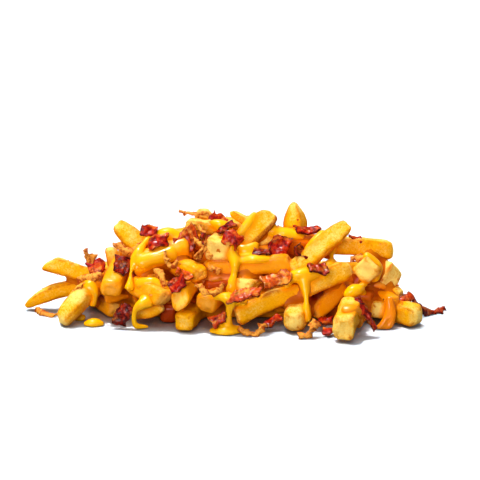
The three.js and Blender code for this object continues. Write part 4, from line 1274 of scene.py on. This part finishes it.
def shared_effect(name, output, **scales):
    """Turns a function that fills a tree into one that gives a shader node group, built once.

    The group takes a vector and the named numbers, and puts out one value.
    """
    def wrap(fill):
        @functools.lru_cache(maxsize=None)
        @functools.wraps(fill)
        def made():
            group = bpy.data.node_groups.new(name, "ShaderNodeTree")
            group.interface.new_socket(name="Vector", in_out="INPUT", socket_type="NodeSocketVector")
            for label, value in scales.items():
                socket = group.interface.new_socket(
                    name=label, in_out="INPUT", socket_type="NodeSocketFloat")
                socket.default_value = value
            group.interface.new_socket(name=output, in_out="OUTPUT", socket_type="NodeSocketFloat")
            entry = group.nodes.new("NodeGroupInput")
            leave = group.nodes.new("NodeGroupOutput")
            group.links.new(fill(group, entry.outputs), leave.inputs[0])
            return group
        return made
    return wrap


@shared_effect("Specks", "Mask", Scale=1.0, Amount=0.5)
def specks_group(tree, given):
    """Small spots that lie here and there: a mask from how many there are."""
    spots = noise(tree, given["Vector"], given["Scale"], 2.0, 0.6)
    edge = minus(tree, 0.78, times(tree, given["Amount"], 0.3))
    return remap(tree, minus(tree, spots, edge), 0.0, 0.07)


@shared_effect("Crisp skin", "Height", Coarse=0.5, Fine=2.0)
def crisp_group(tree, given):
    """The relief of a fried skin: low bumps with finer grain on them."""
    low = noise(tree, given["Vector"], given["Coarse"], 3.0, 0.55)
    fine = noise(tree, given["Vector"], given["Fine"], 3.0, 0.6)
    return plus(tree, low, times(tree, fine, 0.45))


def placed_group(tree, group, sockets):
    """A group's output, with its sockets' values or links."""
    return add_node(tree, "ShaderNodeGroup", sockets, node_tree=group).outputs[0]


def finish(name):
    """Turns a function that tells a surface's sockets into one that gives a material, made once."""
    def wrap(look):
        @functools.lru_cache(maxsize=None)
        @functools.wraps(look)
        def made():
            material = bpy.data.materials.new(name)
            material.use_nodes = True
            tree = material.node_tree
            surface = next(n for n in tree.nodes if n.type == "BSDF_PRINCIPLED")
            fill_sockets(tree, surface, look(tree))
            return material
        return made
    return wrap


def bump(tree, height, strength, distance):
    """A normal from a height, with the distance in millimetres."""
    sockets = {"Height": height, "Strength": strength, "Distance": distance * MM}
    return add_node(tree, "ShaderNodeBump", sockets).outputs[0]


@finish("Fried potato")
def potato_material(tree):
    """Fried potato: pale to golden by patches, browner at its edges, glossy where sauce films it, with
    painted light on its upward faces and painted shade on its downward faces and in hollows.
    """
    grain = attribute(tree, "grain", "Vector")
    told = ("tone", "edge", "cut", "wet", "deep", "crust")
    tone, edge, cut, wet, deep, crust = (attribute(tree, key) for key in told)
    patches = noise(tree, grain, 0.13, 4.0, 0.6)
    fine = noise(tree, grain, 1.1, 5.0, 0.75)
    normal = add_node(tree, "ShaderNodeNewGeometry").outputs["Normal"]
    up = add_node(tree, "ShaderNodeSeparateXYZ", {0: normal})
    share = remap(tree, tone, -1.0, 2.0, 0.04, 1.78)
    share = plus(tree, share, remap(tree, patches, 0.3, 0.7, -0.35, 0.35))
    share = plus(tree, share, remap(tree, fine, 0.35, 0.65, -0.4, 0.4))
    # Painted light: upward faces turn paler, as if lit from above.
    painted_top_light = remap(tree, up.outputs["Z"], 0.1, 0.9)
    painted_top_light = times(tree, painted_top_light, remap(tree, patches, 0.4, 0.6, 0.6, 0.15))
    share = minus(tree, share, painted_top_light)
    share = minus(tree, share, times(tree, cut, 0.8))
    share = plus(tree, share, times(tree, edge, 0.3), True)
    colour = mix(tree, share, tint("pale"), tint("gold"))
    browned = plus(tree, crust, remap(tree, noise(tree, grain, 0.35), 0.32, 0.6, 0.05, 0.95), True)
    rims = times(tree, remap(tree, edge, 0.5, 1.0), browned)
    colour = mix(tree, rims, colour, tint("brown"))
    # Painted shade: downward faces turn the darker sauced orange.
    under = remap(tree, up.outputs["Z"], 0.1, -0.75, 0.0, 0.45)
    under = times(tree, under, remap(tree, cut, 0.0, 1.0, 1.0, 0.2))
    colour = mix(tree, under, colour, tint("stain_deep"))
    mottle = times(tree, remap(tree, fine, 0.5, 0.7, 0.0, 0.6), remap(tree, patches, 0.3, 0.6, 0.3, 1.0))
    mottle = times(tree, mottle, remap(tree, cut, 0.0, 1.0, 1.0, 0.25))
    colour = mix(tree, mottle, colour, tint("brown"))
    stain = times(tree, wet, remap(tree, patches, 0.3, 0.7, 0.85, 1.0))
    colour = mix(tree, stain, colour, tint("stain"))
    crusted = times(tree, crust, remap(tree, fine, 0.3, 0.6, 0.45, 1.0))
    colour = mix(tree, crusted, colour, tint("crust"))
    # Painted shade: fries in hollows, or told to lie in shade, turn darker orange and then dark red.
    colour = mix(tree, remap(tree, deep, 0.0, 0.55, 0.0, 0.75), colour, tint("stain_deep"))
    colour = mix(tree, remap(tree, deep, 0.35, 1.0, 0.0, 0.9), colour, tint("core"))
    skin = placed_group(tree, crisp_group(), {"Vector": grain, "Coarse": 0.55, "Fine": 1.9})
    return {
        "Base Color": colour,
        "Roughness": remap(tree, wet, 0.0, 1.0, 0.5, 0.2),
        "Specular IOR Level": 0.05,
        "Coat Weight": times(tree, wet, 0.22),
        "Coat Roughness": 0.07,
        "Normal": bump(tree, skin, remap(tree, wet, 0.0, 1.0, 1.0, 0.25), 0.5),
    }


@finish("Melted cheese")
def sauce_material(tree):
    """Melted cheese: vivid yellow and very glossy, more orange where it lies thin and in patches, and
    darkened with painted shade in hollows and where its flow lies in shade.
    """
    place = add_node(tree, "ShaderNodeTexCoord").outputs["Object"]
    swirl = noise(tree, place, 90.0, 2.0)
    share = remap(tree, attribute(tree, "thick"), 0.0, 1.0, 0.25, 0.0)
    share = plus(tree, share, remap(tree, swirl, 0.3, 0.7, 0.0, 0.35))
    ripple = noise(tree, place, 260.0, 1.0)
    deep = attribute(tree, "deep")
    colour = mix(tree, share, tint("sauce"), tint("sauce_deep"))
    # Painted shade: sauce in hollows, or on flows that lie in shade, turns darker orange and then dark
    # red.
    colour = mix(tree, remap(tree, deep, 0.1, 0.6, 0.0, 0.85), colour, tint("stain_deep"))
    colour = mix(tree, remap(tree, deep, 0.45, 1.0, 0.0, 0.85), colour, tint("core"))
    return {
        "Base Color": colour,
        "Roughness": 0.3,
        "Specular IOR Level": 0.08,
        "Coat Weight": 0.42,
        "Coat Roughness": 0.03,
        "Normal": bump(tree, ripple, 0.25, 0.6),
    }


@finish("Sauced inside")
def core_material(tree):
    """The inside, in painted shade: the dark core colour far into the hollows, and the lighter sauce
    colour in patches nearer the open.
    """
    place = add_node(tree, "ShaderNodeTexCoord").outputs["Object"]
    patches = noise(tree, place, 130.0, 3.0)
    # Painted shade: the inside keeps its dark colour in hollows and turns lighter in patches nearer the
    # open.
    painted_light_share = times(tree, remap(tree, attribute(tree, "deep"), 0.0, 0.7, 1.0, 0.0), 0.7)
    painted_light_share = times(tree, painted_light_share, remap(tree, patches, 0.35, 0.65, 0.5, 1.0))
    return {
        "Base Color": mix(tree, painted_light_share, tint("core"), tint("sauce_deep")),
        "Roughness": 0.35,
        "Specular IOR Level": 0.1,
        "Normal": bump(tree, patches, 0.5, 1.0),
    }


@finish("Crisp bacon")
def bacon_material(tree):
    """Crisp bacon: red lean with pale streaks of fat and dark edges, greasy and grained."""
    grain = attribute(tree, "grain", "Vector")
    fat, dark = attribute(tree, "fat"), attribute(tree, "dark")
    patches = noise(tree, grain, 0.32, 3.0, 0.6)
    fat = times(tree, fat, remap(tree, patches, 0.3, 0.6, 0.35, 1.0))
    colour = mix(tree, fat, tint("bacon"), tint("fat"))
    blotch = noise(tree, grain, 0.5, 4.0, 0.65)
    colour = mix(tree, remap(tree, blotch, 0.48, 0.34, 0.0, 0.4), colour, tint("fat"))
    # Pale spots in the onion colour: part pale fat, part painted highlight.
    pale = times(tree, fat, remap(tree, patches, 0.5, 0.62, 0.0, 0.9))
    colour = mix(tree, pale, colour, tint("onion"))
    lean = remap(tree, fat, 0.0, 0.7, 1.0, 0.45)
    charred = times(tree, remap(tree, blotch, 0.45, 0.64, -0.15, 0.8), lean)
    burnt = plus(tree, dark, charred, True)
    colour = mix(tree, burnt, colour, tint("bacon_dark"))
    skin = placed_group(tree, crisp_group(), {"Vector": grain, "Coarse": 0.6, "Fine": 2.0})
    return {
        "Base Color": colour,
        "Roughness": remap(tree, patches, 0.3, 0.7, 0.2, 0.36),
        "Specular IOR Level": 0.06,
        "Coat Weight": 0.3,
        "Coat Roughness": 0.1,
        "Normal": bump(tree, skin, 0.7, 0.6),
    }


@finish("Fried onion")
def onion_material(tree):
    """Fried onion: dry golden crumbs of crust, browner at the edges and in spots."""
    grain = attribute(tree, "grain", "Vector")
    rim = attribute(tree, "rim")
    spots = placed_group(tree, specks_group(), {"Vector": grain, "Scale": 0.7, "Amount": 0.9})
    patches = noise(tree, grain, 0.35, 3.0, 0.6)
    share = plus(tree, times(tree, rim, 0.35), remap(tree, patches, 0.4, 0.7, 0.0, 0.7))
    share = plus(tree, share, times(tree, spots, 0.4), True)
    skin = placed_group(tree, crisp_group(), {"Vector": grain, "Coarse": 1.2, "Fine": 3.0})
    return {
        "Base Color": mix(tree, share, tint("onion"), tint("onion_brown")),
        "Roughness": 0.55,
        "Specular IOR Level": 0.1,
        "Normal": bump(tree, skin, 0.8, 0.5),
    }


@finish("Pale floor")
def floor_material(tree):
    """Plain pale floor with the faintest mottle, which throws little light up under the heap."""
    place = add_node(tree, "ShaderNodeTexCoord").outputs["Object"]
    pale = tint("floor")
    worn = (*[FLOOR_MOTTLE * part for part in pale[:3]], 1.0)
    seen = mix(tree, noise(tree, place, 6.0), pale, worn)
    bounce = (*[FLOOR_BOUNCE * part for part in pale[:3]], 1.0)
    direct = add_node(tree, "ShaderNodeLightPath").outputs["Is Camera Ray"]
    return {"Base Color": mix(tree, direct, bounce, seen), "Roughness": 0.9, "Specular IOR Level": 0.0}


class FRIES_OT_core(bpy.types.Operator):
    """Lay the inside that shows between the fries, coloured dark as painted shade"""

    bl_idname = "fries.core"
    bl_label = "Lay the inside"

    def execute(self, context):
        mesh = without_scraps(core_skin(), CORE_SCRAP)
        # Painted shade: the inside is darker the farther it lies into a hollow.
        deep = hollow(mesh_points(mesh))
        lay_piece(mesh, "heap_core", core_material(), "sauce", "fries_heap", deep=deep)
        return {"FINISHED"}


class FRIES_OT_fries(bpy.types.Operator):
    """Lay the fries of the front, of the shade between them and of the far side"""

    bl_idname = "fries.fries"
    bl_label = "Lay the fries"

    def execute(self, context):
        sizes = context.scene.fries_sizes
        cells = {"front": sizes.fry_cell, "shaded": sizes.far_cell, "back": sizes.far_cell}
        sauce = sauce_field()
        for group, fries in all_fries().items():
            pile = Pile()
            for fry in fries:
                mesh, points, values = fry.mesh(cells[group] / MM)
                wet = np.maximum(smooth_step(*WET_REACH, sauce.at(points)), fry.told["wet"])
                # Painted shade: darker in the hollows, plus the shade that the fry's row tells.
                deep = np.clip(hollow(points) + fry.told["shade"], 0, 1)
                pile.add(mesh, wet=wet, deep=deep, **values)
            pile.piece("fries_" + group, potato_material(), ["fries_heap"])
        return {"FINISHED"}


class FRIES_OT_sauce(bpy.types.Operator):
    """Pour the sauce: its flows, drips and film, and the drops beside the heap"""

    bl_idname = "fries.sauce"
    bl_label = "Pour the sauce"

    def execute(self, context):
        field = sauce_field()
        mesh = without_scraps(field.skin(field.values), SAUCE_SCRAP)
        points = mesh_points(mesh)
        thick = smooth_step(*THICK_REACH, heap_field().at(points))
        # Painted shade: darker in the hollows and on flows that lie in shade.
        deep = np.clip(hollow(points) + flow_shade(points), 0, 1)
        lay_piece(mesh, "cheese_sauce", sauce_material(), "sauce", "fries_heap", thick=thick, deep=deep)
        for name, flow in SAUCE_DROPS.items():
            self.lay_drop(name, flow)
        return {"FINISHED"}

    def lay_drop(self, name, flow):
        """One drop beside the heap, in the place of its node."""
        places = moved(flow["path"])
        drop = Field(DROP_CELL, places.min(axis=0) - DROP_MARGIN, places.max(axis=0) + DROP_MARGIN)
        flow_distance(drop, drop.values, flow, FLOW_SPARE)
        mesh = drop.skin(np.maximum(drop.values, drop.floor(DROP_LOWEST)))
        without_scraps(mesh, DROP_SCRAP)
        none = np.zeros(len(mesh.vertices))
        lay_piece(mesh, name + "_piece", sauce_material(), "sauce", name, thick=none + 1, deep=none)


class FRIES_OT_bacon(bpy.types.Operator):
    """Lay the bacon bits and the strip that trails off"""

    bl_idname = "fries.bacon"
    bl_label = "Lay the bacon"

    def execute(self, context):
        thick = context.scene.fries_sizes.bacon_thick / MM
        for name, told in BACON_BITS.items():
            mesh, values = bacon_mesh(told, thick)
            lay_piece(mesh, name + "_piece", bacon_material(), "bacon", name, **values)
        mesh, own, rim = strip_mesh(BACON_TAIL, TAIL_THICK, TAIL_RAGGED)
        fat = 0.35 * np.ones(len(own))
        lay_piece(mesh, "bacon_tail_piece", bacon_material(), "bacon", "bacon_tail",
                  grain=own, fat=fat, dark=0.25 + 0.5 * rim)
        return {"FINISHED"}


class FRIES_OT_onions(bpy.types.Operator):
    """Lay the fried onion shreds, on the heap and loose at its foot"""

    bl_idname = "fries.onions"
    bl_label = "Lay the onions"

    def execute(self, context):
        thick = context.scene.fries_sizes.shred_thick / MM
        pile = Pile()
        for told in ONION_SHREDS.values():
            mesh, own, rim = strip_mesh(told, thick, SHRED_RAGGED)
            pile.add(mesh, grain=own, rim=rim)
        pile.piece("onion_shreds", onion_material(), ["fries_heap"])
        for name, told in LOOSE_ONIONS.items():
            mesh, own, rim = strip_mesh(told, thick, SHRED_RAGGED)
            lay_piece(mesh, name + "_piece", onion_material(), "onion", name, grain=own, rim=rim)
        return {"FINISHED"}


class FRIES_OT_crumbs(bpy.types.Operator):
    """Scatter crumbs of bacon and onion over the heap"""

    bl_idname = "fries.crumbs"
    bl_label = "Scatter the crumbs"

    def execute(self, context):
        size = context.scene.fries_sizes.crumb / MM
        draw = random.Random(CRUMB_SEED)
        finishes = {"bacon": bacon_material(), "onion": onion_material()}
        for name, (slot, count, above) in CRUMBS.items():
            pile = Pile()
            for place in crumb_places(count, draw, above):
                self.lay_crumb(pile, place, size * draw.uniform(0.5, 1.5), draw)
            pile.piece(name, finishes[slot])
        return {"FINISHED"}

    def lay_crumb(self, pile, place, size, draw):
        """One lumpy crumb with its own shape and turn."""
        ball = bmesh.new()
        bmesh.ops.create_icosphere(ball, subdivisions=2, radius=1)
        mesh = made_mesh(ball, "crumb")
        unit = mesh_points(mesh) * MM
        stretch = np.array([draw.uniform(0.7, 1.8), draw.uniform(0.6, 1.1), draw.uniform(0.5, 0.9)])
        turn = draw.uniform(0, 2 * math.pi)
        lumps = 1 + 0.3 * rough(unit + draw.uniform(0, 99), "crumb")
        shape = unit * stretch * size * lumps[:, None]
        cos, sin = math.cos(turn), math.sin(turn)
        shape[:, :2] = shape[:, :2] @ np.array([[cos, sin], [-sin, cos]])
        set_points(mesh, place + shape)
        own = unit * size + draw.uniform(0, 99)
        rim, fat, dark = (np.full(len(unit), draw.random() * most) for most in (1, 0.4, 0.6))
        pile.add(mesh, grain=own, rim=rim, fat=fat, dark=dark)


class FRIES_OT_stage(bpy.types.Operator):
    """Set the plain floor, the soft lights and the camera of the picture"""

    bl_idname = "fries.stage"
    bl_label = "Set the stage"

    def execute(self, context):
        floor = self.lay_floor()
        self.hang_lights(context, floor)
        self.stand_camera(context)
        return {"FINISHED"}

    def lay_floor(self):
        """A wide plain sheet just under the heap."""
        ground = bmesh.new()
        bmesh.ops.create_grid(ground, x_segments=1, y_segments=1, size=FLOOR_HALF)
        bmesh.ops.translate(ground, verts=ground.verts, vec=(0, 0, -FLOOR_DROP * MM))
        mesh = made_mesh(ground, "floor")
        mesh.materials.append(floor_material())
        floor = put("floor", mesh)
        return floor

    def hang_lights(self, context, floor):
        """A faint sky, broad light from above and from the front, one for the floor, and soft boxes."""
        world = bpy.data.worlds.new("Studio")
        world.use_nodes = True
        sky = next(n for n in world.node_tree.nodes if n.type == "BACKGROUND")
        sky.inputs["Color"].default_value = (1, 1, 1, 1)
        sky.inputs["Strength"].default_value = SKY
        context.scene.world = world
        for kind, place, power, spread, lit in LAMPS:
            lamp = self.hang(kind, place, power, spread)
            if lit != "all":
                lamp.light_linking.receiver_collection = self.receivers(floor, lit)

    def receivers(self, floor, lit):
        """What a lamp lights, told by the floor: the floor alone, or all but the floor."""
        group = bpy.data.collections.new("Lit " + lit)
        group.objects.link(floor)
        group.collection_objects[0].light_linking.link_state = "INCLUDE" if lit == "floor" else "EXCLUDE"
        return group

    def hang(self, kind, place, power, spread):
        """One light that looks at the middle of the heap."""
        data = bpy.data.lights.new("light", kind)
        data.energy = power
        if kind == "SUN":
            data.angle = math.radians(spread)
        else:
            data.shape = "RECTANGLE"
            data.size, data.size_y = spread
        lamp = put("light", data)
        lamp.location = place
        lamp.rotation_euler = (Vector(LIGHT_TARGET) - Vector(place)).to_track_quat("-Z", "Y").to_euler()
        return lamp

    def stand_camera(self, context):
        """The camera of the picture, which looks down a little from the front."""
        lens = bpy.data.cameras.new("camera")
        lens.lens = CAMERA_LENS
        lens.sensor_width = CAMERA_SENSOR
        lens.clip_end = 20
        camera = put("camera", lens)
        lift = math.radians(CAMERA_ELEVATION)
        back = Vector((0, -math.cos(lift), math.sin(lift)))
        camera.location = (Vector(CAMERA_TARGET) + back * CAMERA_DISTANCE) * MM
        camera.rotation_euler = (-back).to_track_quat("-Z", "Y").to_euler()
        context.scene.camera = camera
        context.scene.view_settings.view_transform = "Standard"


STEPS = (
    FRIES_OT_core,
    FRIES_OT_fries,
    FRIES_OT_sauce,
    FRIES_OT_bacon,
    FRIES_OT_onions,
    FRIES_OT_crumbs,
    FRIES_OT_stage,
)


class FRIES_PT_panel(bpy.types.Panel):
    """The steps that lay the heap, in their order"""

    bl_label = "Loaded fries"
    bl_idname = "FRIES_PT_panel"
    bl_space_type = "VIEW_3D"
    bl_region_type = "UI"
    bl_category = "Fries"

    def draw(self, context):
        for step in STEPS:
            self.layout.operator(step.bl_idname)
        for settings in (context.scene.fries_sizes, context.scene.fries_colours):
            for key in settings.__annotations__:
                self.layout.prop(settings, key)


CLASSES = (FriesSizes, FriesColours, *STEPS, FRIES_PT_panel)


def register():
    """Makes the settings, the operators and the panel known."""
    for kind in CLASSES:
        bpy.utils.register_class(kind)
    bpy.types.Scene.fries_sizes = bpy.props.PointerProperty(type=FriesSizes)
    bpy.types.Scene.fries_colours = bpy.props.PointerProperty(type=FriesColours)


def unregister():
    """Takes them away again."""
    del bpy.types.Scene.fries_colours
    del bpy.types.Scene.fries_sizes
    for kind in reversed(CLASSES):
        bpy.utils.unregister_class(kind)


def main():
    """Lays the whole heap in its order."""
    register()
    bpy.ops.fries.core()
    bpy.ops.fries.fries()
    bpy.ops.fries.sauce()
    bpy.ops.fries.bacon()
    bpy.ops.fries.onions()
    bpy.ops.fries.crumbs()
    bpy.ops.fries.stage()


if __name__ == "__main__":
    main()
